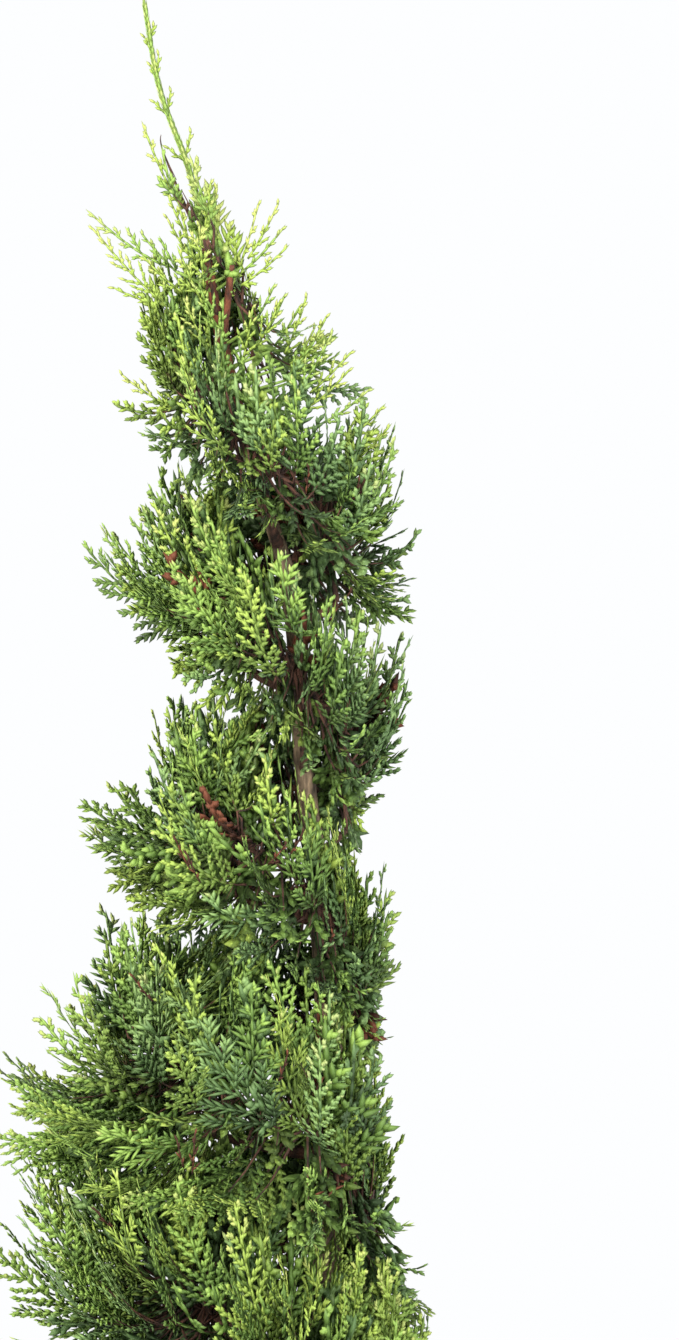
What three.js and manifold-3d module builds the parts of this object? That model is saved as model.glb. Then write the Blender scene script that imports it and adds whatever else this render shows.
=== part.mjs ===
// A cypress clipped as a spiral, in a plain clay pot: pot, potting mix, trunk, boughs and the
// turns of foliage. Units are millimetres and +Z is up. The origin is the middle of the pot's
// underside, +X is to the viewer's right and the viewer looks along +Y.
import * as THREE from "three";
import { mergeVertices } from "three/addons/utils/BufferGeometryUtils.js";
import Module from "manifold-3d";

const wasm = await Module();
wasm.setup();

// Driving dimensions of the whole plant
const TIP_HEIGHT = 1250;
const CLEARANCE = 0.35; // the gap left between pieces that touch
const TURN = 2 * Math.PI;

// Pot: plain tapered clay with a thick band at the rim
const POT_HEIGHT = 210;
const POT_BASE_RADIUS = 88;
const POT_TOP_RADIUS = 112;
const POT_WALL = 9;
const POT_FLOOR = 12;
const BAND_HEIGHT = 42;
const BAND_PROUD = 7;
const EDGE_ROUND = 3;
const POT_SIDES = 32;
const DRAIN_RADIUS = 7;
const DRAIN_CIRCLE = 45;
const DRAIN_COUNT = 3;

// Potting mix: its top lies below the rim and swells a little towards the trunk
const MIX_TOP = 186;
const MIX_MOUND = 4;
const MIX_FLAT_RADIUS = 26;

// Trunk: the height of each station, its offset from the pot's axis and its radius
const TRUNK_FOOT = MIX_TOP + MIX_MOUND + CLEARANCE;
const TRUNK = [
  { z: TRUNK_FOOT, x: 0, y: 0, r: 11.5 },
  { z: 400, x: 20, y: 5, r: 10 },
  { z: 580, x: 31, y: 2, r: 8.6 },
  { z: 750, x: 33, y: -6, r: 6.8 },
  { z: 870, x: 21, y: -8, r: 5.2 },
  { z: 960, x: 13, y: -4, r: 4.2 },
  { z: 1015, x: -4, y: 0, r: 3.7 },
  { z: 1080, x: -20, y: 2, r: 3.1 },
  { z: 1160, x: -35, y: 0, r: 2 },
  { z: 1205, x: -51, y: -2, r: 1.5 },
  { z: TIP_HEIGHT, x: -59, y: -4, r: 0.9 },
];
const TRUNK_SIDES = 10;
const TRUNK_STEP = 42;
const FLARE_HEIGHT = 32; // the root flare dies out over this height
const FLARE_GROWTH = 0.55; // how much wider the foot is than the stem above the flare
const FLARE_LOBES = 5;

// Crown: the round outline that the shears left, at each height
const CROWN = [
  { z: 1210, x: -51, y: 0, r: 9 },
  { z: 1175, x: -43, y: 0, r: 14 },
  { z: 1140, x: -37, y: 0, r: 23 },
  { z: 1105, x: -24, y: 0, r: 40 },
  { z: 1080, x: -12, y: 0, r: 51 },
  { z: 1050, x: -2, y: 0, r: 65 },
  { z: 1015, x: 3, y: 0, r: 70 },
  { z: 977, x: -4, y: 0, r: 79 },
  { z: 945, x: 3, y: 0, r: 72 },
  { z: 915, x: 9, y: 0, r: 63 },
  { z: 880, x: 1, y: 0, r: 72 },
  { z: 840, x: -18, y: 0, r: 78 },
  { z: 805, x: -5, y: 0, r: 76 },
  { z: 775, x: -8, y: 0, r: 77 },
  { z: 745, x: -22, y: 0, r: 87 },
  { z: 715, x: -29, y: 0, r: 96 },
  { z: 660, x: -27, y: 0, r: 96 },
  { z: 600, x: -20, y: 0, r: 104 },
  { z: 500, x: -14, y: 0, r: 114 },
  { z: 375, x: -6, y: 0, r: 126 },
  { z: 290, x: 0, y: 0, r: 128 },
  { z: 230, x: 2, y: 0, r: 108 },
];

// Spiral: turn t of the ribbon of foliage lies this far down, facing front at each whole t
const SPIRAL_TOP = 1135;
const PITCH = 108.5;
const PITCH_GROWTH = 1.2;
const SPIRAL_TILT = 12; // every turn stands this much higher on the left, and lower on the right
const FIRST_TURN = -0.375;
const SECTORS_PER_TURN = 4;
const SECTOR_COUNT = 30;
const SIDES = ["left", "front", "right", "back"];

// Ribbon: its cross-section, as shares of the pitch and of the reach from the trunk
const INNER_CLEAR = 4; // from the bark to the foliage
const INNER_SHARE = 0.16;
const MIDDLE_SHARE = 0.45;
const HALF_THICKNESS = 0.485;
const SQUARENESS = 0.5; // 1 gives an ellipse and less a fuller section
const CORE_THICKNESS = 0.33;
const CORE_ROUGHNESS = 0.24;
const SPRAY_SHARE = 0.36; // how much of the reach the sprays take up outside the core
const SPRAY_LEAST = 18;
const SPRAY_MOST = 42;
const SECTOR_MARGIN = 0.02; // radians kept free at each end of a mass
const SLAB_MARGIN = 0.8;

// Sprays: flat toothed blades that stand out of the core
const SPRAY_SPACING = 6.4; // one spray for each of these millimetres of reach
const FEWEST_SPRAYS = 8;
const MOST_SPRAYS = 16;
const SPRAY_WIDTH = 0.8; // of its length
const SPRAY_FOLD = 0.4; // how far each side bends back, as a share of its width
const SPRAY_THICKNESS = 0.045;
const SPRAY_THINNEST = 1.2;
const SPRAY_SINK = 0.45; // of the way from the core's skin to its middle
const LOWEST_ANGLE = -100; // degrees round the ribbon's section, from its outer edge
const HIGHEST_ANGLE = 86;
const UPWARD_TURN = 32;
const SIDEWAYS_TURN = 0.05; // of a turn round the trunk, either way
const STEEPEST = 1.75; // radians: the highest angle that a tip turns to
const ROLL = 0.9;
const GOLDEN = 0.618034;
const SHOOT_WIDTH = 0.5;
const CORE_RINGS = 3;
const CORE_POINTS = 6;
const UNEVEN = 0.24; // how unevenly the shears left the tips, as a share of their reach
const TRIES = 4;
const SHRINK = 0.85;
const THIN_TOP = -0.75; // the crown fills out between this turn and the next constant's
const FULL_TURN = 0.5;
const THIN_SHARE = 0.5; // how much of its thickness the ribbon keeps where it starts

// Shoots that have grown out past the clipped outline: at turn t, at an angle in degrees
// round the section, by so many millimetres
const SHOOTS = [
  { t: -0.25, angle: -50, past: 34 },
  { t: 0.22, angle: 62, past: 8 },
  { t: 0.32, angle: 40, past: 6 },
  { t: 0.27, angle: -14, past: 8 },
  { t: 0.72, angle: 64, past: 10 },
  { t: 1.2, angle: 68, past: 9 },
  { t: 1.7, angle: 62, past: 14 },
  { t: 1.78, angle: 36, past: 18 },
  { t: 2.22, angle: 74, past: 12 },
  { t: 2.75, angle: 4, past: 10 },
  { t: 3.25, angle: 58, past: 9 },
  { t: 3.77, angle: 12, past: 8 },
  { t: 3.73, angle: -42, past: 18 },
  { t: 4.71, angle: 84, past: 34 },
  { t: 4.79, angle: 66, past: 22 },
  { t: 4.25, angle: 42, past: 9 },
  { t: 4.75, angle: 20, past: 8 },
];

// Leader: the tip of the trunk, sheathed in scale leaves, with short sprays to either side
const LEADER_FOOT = 1178;
const SHEATH_OUTER = 2.3;
const SHEATH_SIDES = 6;
const LEADER_SPRAYS = 9;
const LEADER_SPRAY_LONGEST = 15;
const LEADER_SPRAY_SHORTEST = 7;

// Boughs: one to each mass that reaches this far out. They rise from the channel below it.
const BOUGH_REACH = 72;
const BOUGH_SIDES = 6;
const BOUGH_FOOT_RADIUS = 3.6;
const BOUGH_TIP_RADIUS = 2.2;
const BOUGH_DROP = 0.43; // of the pitch
const STEM_TIP_RADIUS = 1.5;

// The stub of the stem that was cut when the leader took over
const STUB_FOOT = 1078;
const STUB_TIP = { x: -15, y: -7, z: 1117 };
const STUB_FOOT_RADIUS = 3;
const STUB_TIP_RADIUS = 2.3;

// A repeatable number from 0 to 1 for choice k about item i.
function chance(i, k) {
  const s = Math.sin(i * 12.9898 + k * 78.233) * 43758.5453;
  return s - Math.floor(s);
}

// The value of one key at height z, on a smooth curve through the stations.
function along(stations, key, z) {
  const up = stations[0].z < stations[1].z ? stations : [...stations].reverse();
  let i = 0;
  while (i < up.length - 2 && z > up[i + 1].z) i += 1;
  const slope = (a, b) => (up[b][key] - up[a][key]) / (up[b].z - up[a].z);
  const last = up.length - 1;
  const gap = up[i + 1].z - up[i].z;
  const s = THREE.MathUtils.clamp((z - up[i].z) / gap, 0, 1);
  const m0 = slope(Math.max(i - 1, 0), i + 1) * gap;
  const m1 = slope(i, Math.min(i + 2, last)) * gap;
  const rise = up[i + 1][key] - up[i][key];
  return up[i][key] + m0 * s + (3 * rise - 2 * m0 - m1) * s * s + (m0 + m1 - 2 * rise) * s ** 3;
}

const trunkPoint = (z) => new THREE.Vector3(along(TRUNK, "x", z), along(TRUNK, "y", z), z);
const trunkRadius = (z) => along(TRUNK, "r", z);

// The ribbon's height and local pitch at turn t, and its compass direction seen from above.
const directionAt = (t) => TURN * (t - 1 / 4);
const pitchAt = (t) => PITCH + 2 * PITCH_GROWTH * t;
const ribbonHeight = (t) =>
  SPIRAL_TOP - PITCH * t - PITCH_GROWTH * t * t - SPIRAL_TILT * Math.cos(directionAt(t));

// How far the clipped outline lies from the trunk, in direction a at height z.
function reachAt(a, z) {
  const foot = trunkPoint(z);
  const dx = foot.x - along(CROWN, "x", z);
  const dy = foot.y - along(CROWN, "y", z);
  const r = along(CROWN, "r", z);
  const b = dx * Math.cos(a) + dy * Math.sin(a);
  return Math.sqrt(Math.max(b * b - dx * dx - dy * dy + r * r, 1)) - b;
}

// A point at distance r from the trunk, above or below the ribbon's middle by h.
function ribbonPoint(t, r, h) {
  const z = ribbonHeight(t) + h;
  const a = directionAt(t);
  return trunkPoint(z).add(new THREE.Vector3(r * Math.cos(a), r * Math.sin(a), 0));
}

// The ribbon's section at turn t: the core's and the clipped outline's middles and half sizes.
function sectionAt(t) {
  const z = ribbonHeight(t);
  const reach = reachAt(directionAt(t), z);
  const inner = Math.max(trunkRadius(z) + INNER_CLEAR, reach * INNER_SHARE);
  const middle = inner + MIDDLE_SHARE * (reach - inner);
  const outside = THREE.MathUtils.clamp(reach * SPRAY_SHARE, SPRAY_LEAST, SPRAY_MOST);
  const coreOuter = Math.max(reach - outside, inner + 8);
  const full = THREE.MathUtils.clamp((t - THIN_TOP) / (FULL_TURN - THIN_TOP), 0, 1);
  return {
    reach,
    outline: {
      r: middle,
      a: reach - middle,
      b: HALF_THICKNESS * pitchAt(t) * THREE.MathUtils.lerp(THIN_SHARE, 1, full),
    },
    core: {
      r: (inner + coreOuter) / 2,
      a: (coreOuter - inner) / 2,
      b: CORE_THICKNESS * pitchAt(t) * full,
    },
  };
}

// A point on an oval of the section, at angle q round it from its outer edge upward.
function onSection(t, oval, q) {
  const fuller = (s) => Math.sign(s) * Math.abs(s) ** SQUARENESS;
  return ribbonPoint(t, oval.r + oval.a * fuller(Math.cos(q)), oval.b * fuller(Math.sin(q)));
}

// A point on the clipped outline, reached past by so much. The section's width there follows
// the outline's reach at the point's own height.
function onOutline(t, past, q) {
  const { reach, outline } = sectionAt(t);
  const reached = { ...outline, a: outline.a + past };
  const p = onSection(t, reached, q);
  const foot = trunkPoint(p.z);
  const share = reachAt(directionAt(t), p.z) / reach;
  p.x = THREE.MathUtils.lerp(foot.x, p.x, share);
  p.y = THREE.MathUtils.lerp(foot.y, p.y, share);
  return p;
}

// A closed geometry from rings of points, each ring counterclockwise about the way they run.
function skin(rings) {
  const n = rings[0].length;
  const positions = rings.flat().flatMap((p) => [p.x, p.y, p.z]);
  const faces = [];
  for (let k = 0; k + 1 < rings.length; k += 1) {
    for (let i = 0; i < n; i += 1) {
      const a = k * n + i;
      const b = k * n + ((i + 1) % n);
      faces.push(a, b, b + n, a, b + n, a + n);
    }
  }
  const end = (rings.length - 1) * n;
  for (let i = 1; i + 1 < n; i += 1) {
    faces.push(0, i + 1, i, end, end + i, end + i + 1);
  }
  const geometry = new THREE.BufferGeometry();
  geometry.setAttribute("position", new THREE.Float32BufferAttribute(positions, 3));
  return geometry.setIndex(faces);
}

// three.js geometry to a solid and back.
function solidOf(geometry) {
  const bare = geometry.clone();
  for (const name of ["normal", "uv"]) bare.deleteAttribute(name);
  const merged = mergeVertices(bare, 1e-4);
  return new wasm.Manifold(
    new wasm.Mesh({
      numProp: 3,
      vertProperties: new Float32Array(merged.attributes.position.array),
      triVerts: new Uint32Array(merged.index.array),
    }),
  );
}

function geometryOf(solid) {
  const mesh = solid.getMesh();
  const geometry = new THREE.BufferGeometry();
  geometry.setAttribute("position", new THREE.Float32BufferAttribute(mesh.vertProperties, 3));
  geometry.setIndex(new THREE.Uint32BufferAttribute(mesh.triVerts, 1));
  geometry.computeVertexNormals();
  return geometry;
}

const material = (color, roughness) => new THREE.MeshStandardMaterial({ color, roughness });
const CLAY = material(0xb06a48, 0.85);
const MIX = material(0x3b2a1e, 0.95);
const BARK = material(0x77624a, 0.9);
const YOUNG_BARK = material(0x8a4a30, 0.75);
const FOLIAGE = material(0x5b7f35, 0.6);
const LEADER_GREEN = material(0x8fae5a, 0.6);

const plant = new THREE.Group();

function add(name, geometry, finish) {
  const mesh = new THREE.Mesh(geometry, finish);
  mesh.name = name;
  plant.add(mesh);
}

// Pot: one turned profile, from the middle of the underside round the rim and back to the axis
function pot() {
  const band = POT_HEIGHT - BAND_HEIGHT;
  const outer = (z) => THREE.MathUtils.lerp(POT_BASE_RADIUS, POT_TOP_RADIUS, z / POT_HEIGHT);
  const rim = outer(POT_HEIGHT) + BAND_PROUD;
  const inside = (z) => outer(z) - POT_WALL;
  const profile = [
    [0, 0],
    [POT_BASE_RADIUS - EDGE_ROUND, 0],
    [POT_BASE_RADIUS, EDGE_ROUND],
    [outer(band), band - BAND_PROUD],
    [outer(band) + BAND_PROUD, band],
    [rim, POT_HEIGHT - EDGE_ROUND],
    [rim - EDGE_ROUND, POT_HEIGHT],
    [inside(POT_HEIGHT) + EDGE_ROUND, POT_HEIGHT],
    [inside(POT_HEIGHT), POT_HEIGHT - EDGE_ROUND],
    [inside(POT_FLOOR), POT_FLOOR],
    [0, POT_FLOOR],
  ].map(([r, z]) => new THREE.Vector2(r, z));
  let wall = solidOf(new THREE.LatheGeometry(profile, POT_SIDES).rotateX(Math.PI / 2));
  for (let k = 0; k < DRAIN_COUNT; k += 1) {
    const a = (TURN * k) / DRAIN_COUNT;
    const hole = new THREE.CylinderGeometry(DRAIN_RADIUS, DRAIN_RADIUS, 3 * POT_FLOOR, 12);
    hole.rotateX(Math.PI / 2);
    hole.translate(DRAIN_CIRCLE * Math.cos(a), DRAIN_CIRCLE * Math.sin(a), 0);
    wall = wall.subtract(solidOf(hole));
  }
  return geometryOf(wall);
}

// Potting mix: fills the pot up to its slightly mounded top
function pottingMix() {
  const inside = (z) =>
    THREE.MathUtils.lerp(POT_BASE_RADIUS, POT_TOP_RADIUS, z / POT_HEIGHT) - POT_WALL - 0.6;
  const low = POT_FLOOR + CLEARANCE;
  const profile = [
    [0, low],
    [inside(low), low],
    [inside(MIX_TOP), MIX_TOP],
    [MIX_FLAT_RADIUS * 2, MIX_TOP + MIX_MOUND * 0.6],
    [MIX_FLAT_RADIUS, MIX_TOP + MIX_MOUND],
    [0, MIX_TOP + MIX_MOUND],
  ].map(([r, z]) => new THREE.Vector2(r, z));
  return new THREE.LatheGeometry(profile, POT_SIDES).rotateX(Math.PI / 2);
}

// Trunk: level rings along its course, wider and lobed at the root flare.
// extra widens it all round, for cutting its neighbours clear.
function trunk(extra = 0) {
  const rings = [];
  const steps = Math.ceil((TIP_HEIGHT - TRUNK_FOOT) / TRUNK_STEP);
  const heights = [0, 0.25, 0.55].map((s) => TRUNK_FOOT + s * FLARE_HEIGHT);
  for (let k = 1; k <= steps; k += 1) {
    heights.push(THREE.MathUtils.lerp(TRUNK_FOOT, TIP_HEIGHT, k / steps));
  }
  for (const z of heights) {
    const middle = trunkPoint(z);
    const flare = Math.max(0, 1 - (z - TRUNK_FOOT) / FLARE_HEIGHT) ** 2 * FLARE_GROWTH;
    const ring = [];
    for (let i = 0; i < TRUNK_SIDES; i += 1) {
      const a = (TURN * i) / TRUNK_SIDES;
      const lobe = 1 + 0.35 * Math.cos(FLARE_LOBES * a);
      const r = trunkRadius(z) * (1 + flare * lobe) + extra;
      ring.push(new THREE.Vector3(middle.x + r * Math.cos(a), middle.y + r * Math.sin(a), z));
    }
    rings.push(ring);
  }
  return skin(rings);
}

// A tapering limb between two points.
function limb(from, to, footRadius, tipRadius) {
  const way = to.clone().sub(from);
  const length = way.length();
  const geometry = new THREE.CylinderGeometry(tipRadius, footRadius, length, BOUGH_SIDES);
  const turn = new THREE.Quaternion();
  turn.setFromUnitVectors(new THREE.Vector3(0, 1, 0), way.normalize());
  geometry.translate(0, length / 2, 0).applyQuaternion(turn);
  return geometry.translate(from.x, from.y, from.z);
}

// A spray's outline, as shares of its length and of its width: a tip and a tooth on each side.
const SPRAY_OUTLINE = [
  [0, 0],
  [0.34, -0.14],
  [0.66, -0.5],
  [0.7, -0.16],
  [1, 0],
  [0.68, 0.14],
  [0.8, 0.5],
];
const SPRAY_RIDGE = [0.5, 0];

// A toothed blade from base to tip, bent back a little on each side. normal is the way its
// face looks.
function spray(base, tip, normal, width = SPRAY_WIDTH) {
  const way = tip.clone().sub(base);
  const length = way.length();
  const ahead = way.normalize();
  const across = normal.clone().cross(ahead).normalize();
  const facing = ahead.clone().cross(across);
  const at = ([s, w], h) =>
    base
      .clone()
      .addScaledVector(ahead, s * length)
      .addScaledVector(across, w * width * length)
      .addScaledVector(facing, h - Math.abs(w) * SPRAY_FOLD * width * length);
  const thick = Math.max(SPRAY_THICKNESS * length, SPRAY_THINNEST) / 2;
  const outline = SPRAY_OUTLINE.map((p) => at(p, 0));
  const points = [...outline, at(SPRAY_RIDGE, thick), at(SPRAY_RIDGE, -thick)];
  const n = outline.length;
  const faces = [];
  for (let i = 0; i < n; i += 1) {
    const j = (i + 1) % n;
    faces.push(n, i, j, n + 1, j, i);
  }
  const geometry = new THREE.BufferGeometry();
  const positions = points.flatMap((p) => [p.x, p.y, p.z]);
  geometry.setAttribute("position", new THREE.Float32BufferAttribute(positions, 3));
  return { outline, geometry: geometry.setIndex(faces) };
}

// True where a point lies in a mass's own space: its sector of the turn, between the
// surfaces half way to the turns above and below, and clear of the trunk.
function inSpace(p, first, last) {
  const middle = (first + last) / 2;
  const foot = trunkPoint(p.z);
  const dx = p.x - foot.x;
  const dy = p.y - foot.y;
  const r = Math.hypot(dx, dy);
  const turn = Math.atan2(dy, dx) / TURN + 1 / 4;
  const t = turn + Math.round(middle - turn);
  const sector = (last - first) / 2 - 1 / (TURN * r);
  const slab = pitchAt(t) / 2 - SLAB_MARGIN;
  const clearOfTrunk = r > trunkRadius(p.z) + 2;
  return (
    clearOfTrunk && Math.abs(t - middle) < sector && Math.abs(p.z - ribbonHeight(t)) < slab
  );
}

// Where a spray grows from and reaches to, and the way its face looks. It roots in the core
// at turn t and angle q, leans upward to its tip, and reaches past the outline by so much.
function sprayCourse(item, t, q, past, first, last) {
  const { core } = sectionAt(t);
  const base = onSection(t, core, q).lerp(onSection(t, core, q + Math.PI), SPRAY_SINK / 2);
  const sideways = SIDEWAYS_TURN * (2 * chance(item, 3) - 1);
  const spare = 0.06 * (last - first);
  const end = THREE.MathUtils.clamp(t + sideways, first + spare, last - spare);
  const up = THREE.MathUtils.degToRad(UPWARD_TURN * (0.7 + 0.6 * chance(item, 4)));
  const tip = onOutline(end, past, Math.min(q + up, STEEPEST));
  const a = directionAt(t);
  const ring = new THREE.Vector3(-Math.sin(a), Math.cos(a), 0);
  const ahead = tip.clone().sub(base).normalize();
  const roll = ROLL * (2 * chance(item, 5) - 1);
  const normal = ring.cross(ahead).applyAxisAngle(ahead, roll);
  return { base, tip, normal };
}

// One spray, made shorter if it would leave the mass's space, and left out after a few tries.
function fittedSpray(course, first, last, width) {
  for (let k = 0; k < TRIES; k += 1) {
    const tip = course.base.clone().lerp(course.tip, SHRINK ** k);
    const made = spray(course.base, tip, course.normal, width);
    if (made.outline.slice(1).every((p) => inSpace(p, first, last))) return [made.geometry];
  }
  return [];
}

// All the sprays of mass m, spread evenly over the outer side of its core.
function spraysOf(m, first, last) {
  const { reach, outline } = sectionAt((first + last) / 2);
  const count = THREE.MathUtils.clamp(
    Math.round(reach / SPRAY_SPACING),
    FEWEST_SPRAYS,
    MOST_SPRAYS,
  );
  const sprays = [];
  for (let i = 0; i < count; i += 1) {
    const item = m * 100 + i;
    const share = (0.5 + i * GOLDEN + 0.2 * chance(item, 1)) % 1;
    const t = THREE.MathUtils.lerp(first, last, 0.12 + 0.76 * share);
    const round = (i + 0.15 + 0.7 * chance(item, 2)) / count;
    const q = THREE.MathUtils.degToRad(
      THREE.MathUtils.lerp(LOWEST_ANGLE, HIGHEST_ANGLE, round),
    );
    const past = outline.a * UNEVEN * (chance(item, 6) - 0.5);
    sprays.push(...fittedSpray(sprayCourse(item, t, q, past, first, last), first, last));
  }
  SHOOTS.forEach(({ t, angle, past }, k) => {
    if (t < first || t > last) return;
    const item = 10000 + k;
    const q = THREE.MathUtils.degToRad(angle - UPWARD_TURN);
    const course = sprayCourse(item, t, q, past, first, last);
    sprays.push(...fittedSpray(course, first, last, SHOOT_WIDTH));
  });
  return sprays;
}

// The core of a mass: the ribbon's inner part from one end of its sector to the other.
function core(first, last) {
  const rings = [];
  for (let k = 0; k < CORE_RINGS; k += 1) {
    const t = THREE.MathUtils.lerp(first, last, k / (CORE_RINGS - 1));
    const oval = sectionAt(t).core;
    const ring = [];
    for (let i = 0; i < CORE_POINTS; i += 1) {
      const size = 1 + CORE_ROUGHNESS * (chance(Math.round(t * 100), i) - 0.5);
      const rough = { r: oval.r, a: oval.a * size, b: oval.b * size };
      ring.push(onSection(t, rough, (-TURN * i) / CORE_POINTS));
    }
    rings.push(ring);
  }
  return skin(rings);
}

// The largest connected part of a solid, with no hollow sealed inside it.
function mainBody(solid) {
  const bodies = solid.decompose();
  return bodies.reduce((best, body) => (body.volume() > best.volume() ? body : best));
}

// One mass of foliage, with its bough where it has one: core, stem and sprays in one solid.
function foliageMass(m, keepClear) {
  const start = FIRST_TURN + m / SECTORS_PER_TURN;
  const margin = SECTOR_MARGIN / TURN;
  const first = start + margin;
  const last = start + 1 / SECTORS_PER_TURN - margin;
  const middle = (first + last) / 2;
  const side = SIDES[m % SECTORS_PER_TURN];
  const name = `turn_${Math.floor((m + 3) / SECTORS_PER_TURN)}_${side}`;
  const { reach, core: oval } = sectionAt(middle);
  const heart = ribbonPoint(middle, oval.r, 0);
  const foot = trunkPoint(heart.z - BOUGH_DROP * pitchAt(middle));
  const parts = [core(first, last), ...spraysOf(m, first, last)];
  let clear = keepClear;
  if (reach > BOUGH_REACH) {
    const joint = ribbonPoint(middle, oval.r - oval.a / 4, -oval.b);
    const bough = solidOf(limb(foot, joint, BOUGH_FOOT_RADIUS, BOUGH_TIP_RADIUS));
    add(`bough_${name}`, geometryOf(mainBody(bough.subtract(keepClear))), YOUNG_BARK);
    const past = joint.clone().sub(foot).setLength(CLEARANCE).add(joint);
    const widths = [BOUGH_FOOT_RADIUS + CLEARANCE, BOUGH_TIP_RADIUS + CLEARANCE];
    clear = clear.add(solidOf(limb(foot, past, ...widths)));
    parts.push(limb(joint, heart, BOUGH_TIP_RADIUS, STEM_TIP_RADIUS));
  } else {
    parts.push(limb(foot, heart, BOUGH_TIP_RADIUS, STEM_TIP_RADIUS));
  }
  const mass = wasm.Manifold.union(parts.map(solidOf)).subtract(clear);
  add(`foliage_${name}`, geometryOf(mainBody(mass)), FOLIAGE);
  return mass;
}

// The leader's foliage: a sheath round the tip of the trunk, with short sprays in two ranks
// that shorten upward. A spray that meets the masses below is left out.
function leaderFoliage(masses) {
  const rings = [];
  for (const s of [0, 1 / 3, 2 / 3, 1]) {
    const z = THREE.MathUtils.lerp(LEADER_FOOT, TIP_HEIGHT - 1, s);
    const middle = trunkPoint(z);
    const ring = [];
    for (let i = 0; i < SHEATH_SIDES; i += 1) {
      const a = (TURN * i) / SHEATH_SIDES;
      const r = trunkRadius(z) + SHEATH_OUTER * (1 - 0.45 * s);
      ring.push(new THREE.Vector3(middle.x + r * Math.cos(a), middle.y + r * Math.sin(a), z));
    }
    rings.push(ring);
  }
  const parts = [solidOf(skin(rings))];
  for (let i = 0; i < LEADER_SPRAYS; i += 1) {
    const s = i / LEADER_SPRAYS;
    const z = THREE.MathUtils.lerp(LEADER_FOOT + 6, TIP_HEIGHT - 6, s);
    const length = THREE.MathUtils.lerp(LEADER_SPRAY_LONGEST, LEADER_SPRAY_SHORTEST, s);
    const a = Math.PI * (i % 2) + 0.9 * (chance(i, 7) - 0.5);
    const out = new THREE.Vector3(Math.cos(a) * 0.62, Math.sin(a) * 0.62, 0.78).normalize();
    const base = trunkPoint(z).addScaledVector(out, -4);
    const normal = new THREE.Vector3(0, -1, 0).applyAxisAngle(out, chance(i, 8) - 0.5);
    const blade = solidOf(spray(base, base.clone().addScaledVector(out, length + 4), normal).geometry);
    if (masses.every((mass) => blade.intersect(mass).isEmpty())) parts.push(blade);
  }
  return mainBody(wasm.Manifold.union(parts).subtract(trunkClear));
}

const trunkSolid = solidOf(trunk());
const trunkClear = solidOf(trunk(CLEARANCE));
const stubTip = new THREE.Vector3(STUB_TIP.x, STUB_TIP.y, STUB_TIP.z);
const stub = (extra) =>
  solidOf(limb(trunkPoint(STUB_FOOT), stubTip, STUB_FOOT_RADIUS + extra, STUB_TIP_RADIUS + extra));
const woodClear = trunkClear.add(stub(CLEARANCE));

add("pot", pot(), CLAY);
add("potting_mix", pottingMix(), MIX);
add("trunk", geometryOf(trunkSolid), BARK);
add("cut_stub", geometryOf(mainBody(stub(0).subtract(trunkClear))), YOUNG_BARK);
const masses = [];
for (let m = 0; m < SECTOR_COUNT; m += 1) masses.push(foliageMass(m, woodClear));
add("leader_foliage", geometryOf(leaderFoliage(masses.slice(0, 3))), LEADER_GREEN);

export default plant;
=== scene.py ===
"""A cypress clipped as a spiral, in a plain clay pot, dressed on its CAD frame.

The foliage grows by the same rule as the solids: a ribbon winds down the trunk between the
trunk and the clipped outline, and flat sprays root in the ribbon's core and end on the
outline. Here each spray is carried on to side branchlets and last shoots. Lengths in the
rule are in millimetres, and meshes are in metres.
"""
from collections import namedtuple

import bmesh
import bpy
import numpy as np
from bpy.props import FloatProperty, FloatVectorProperty, IntProperty, PointerProperty
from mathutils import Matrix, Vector


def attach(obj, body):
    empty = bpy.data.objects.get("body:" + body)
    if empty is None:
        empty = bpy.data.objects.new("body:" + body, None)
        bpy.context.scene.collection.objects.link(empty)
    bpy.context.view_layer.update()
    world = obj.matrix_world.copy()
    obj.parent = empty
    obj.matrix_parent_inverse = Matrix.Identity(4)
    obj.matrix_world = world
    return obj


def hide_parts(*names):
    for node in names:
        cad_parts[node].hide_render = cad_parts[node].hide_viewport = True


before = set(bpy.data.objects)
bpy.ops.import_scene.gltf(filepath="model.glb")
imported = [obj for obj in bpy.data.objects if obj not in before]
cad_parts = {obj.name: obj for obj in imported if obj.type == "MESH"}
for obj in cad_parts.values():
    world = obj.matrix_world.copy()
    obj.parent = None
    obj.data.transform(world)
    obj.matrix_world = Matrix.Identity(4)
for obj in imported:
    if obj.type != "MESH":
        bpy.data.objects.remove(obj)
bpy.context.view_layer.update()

bl_info = {
    "name": "Spiral Cypress",
    "version": (1, 0, 0),
    "blender": (4, 5, 0),
    "location": "3D View > Sidebar > Topiary",
    "description": "Dresses a potted spiral cypress with bark, twigs, sprays and a clay pot",
    "category": "Add Mesh",
}

TURN = 2 * np.pi
MM = 0.001
UP = np.array([0.0, 0.0, 1.0])

# Repeatable numbers: the steps of a big sine, and the steps between a noise grid's corners
SINE_STEPS = (12.9898, 78.233)
SINE_SIZE = 43758.5453
NOISE_STEPS = (57, 131)

# The picture's size and the column of the pot's axis in pixels, and a pixel in mm
PICTURE_WIDTH = 679
PICTURE_HEIGHT = 1340
AXIS_COLUMN = 262
PIXEL = 0.5
SENSOR = 36.0

# Soft square lamps: name, place, the point that each looks at, and side, in metres, and colour
LAMPS = (
    ("key", (-1.5, -1.7, 2.3), (0, 0, 0.9), 0.9, "#fff6e6"),
    ("fill", (1.1, -2.0, 1.1), (0, 0, 0.8), 1.5, "#ffffff"),
)

# The round floor, and how far it lies under the pot, in mm
FLOOR_RADIUS = 3000.0
FLOOR_DROP = 0.5

# A way that no path follows, from which a tube's rings are set out
UNUSED_WAY = np.array([0.31, 0.93, 0.19])

# The growing rule, in mm

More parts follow.
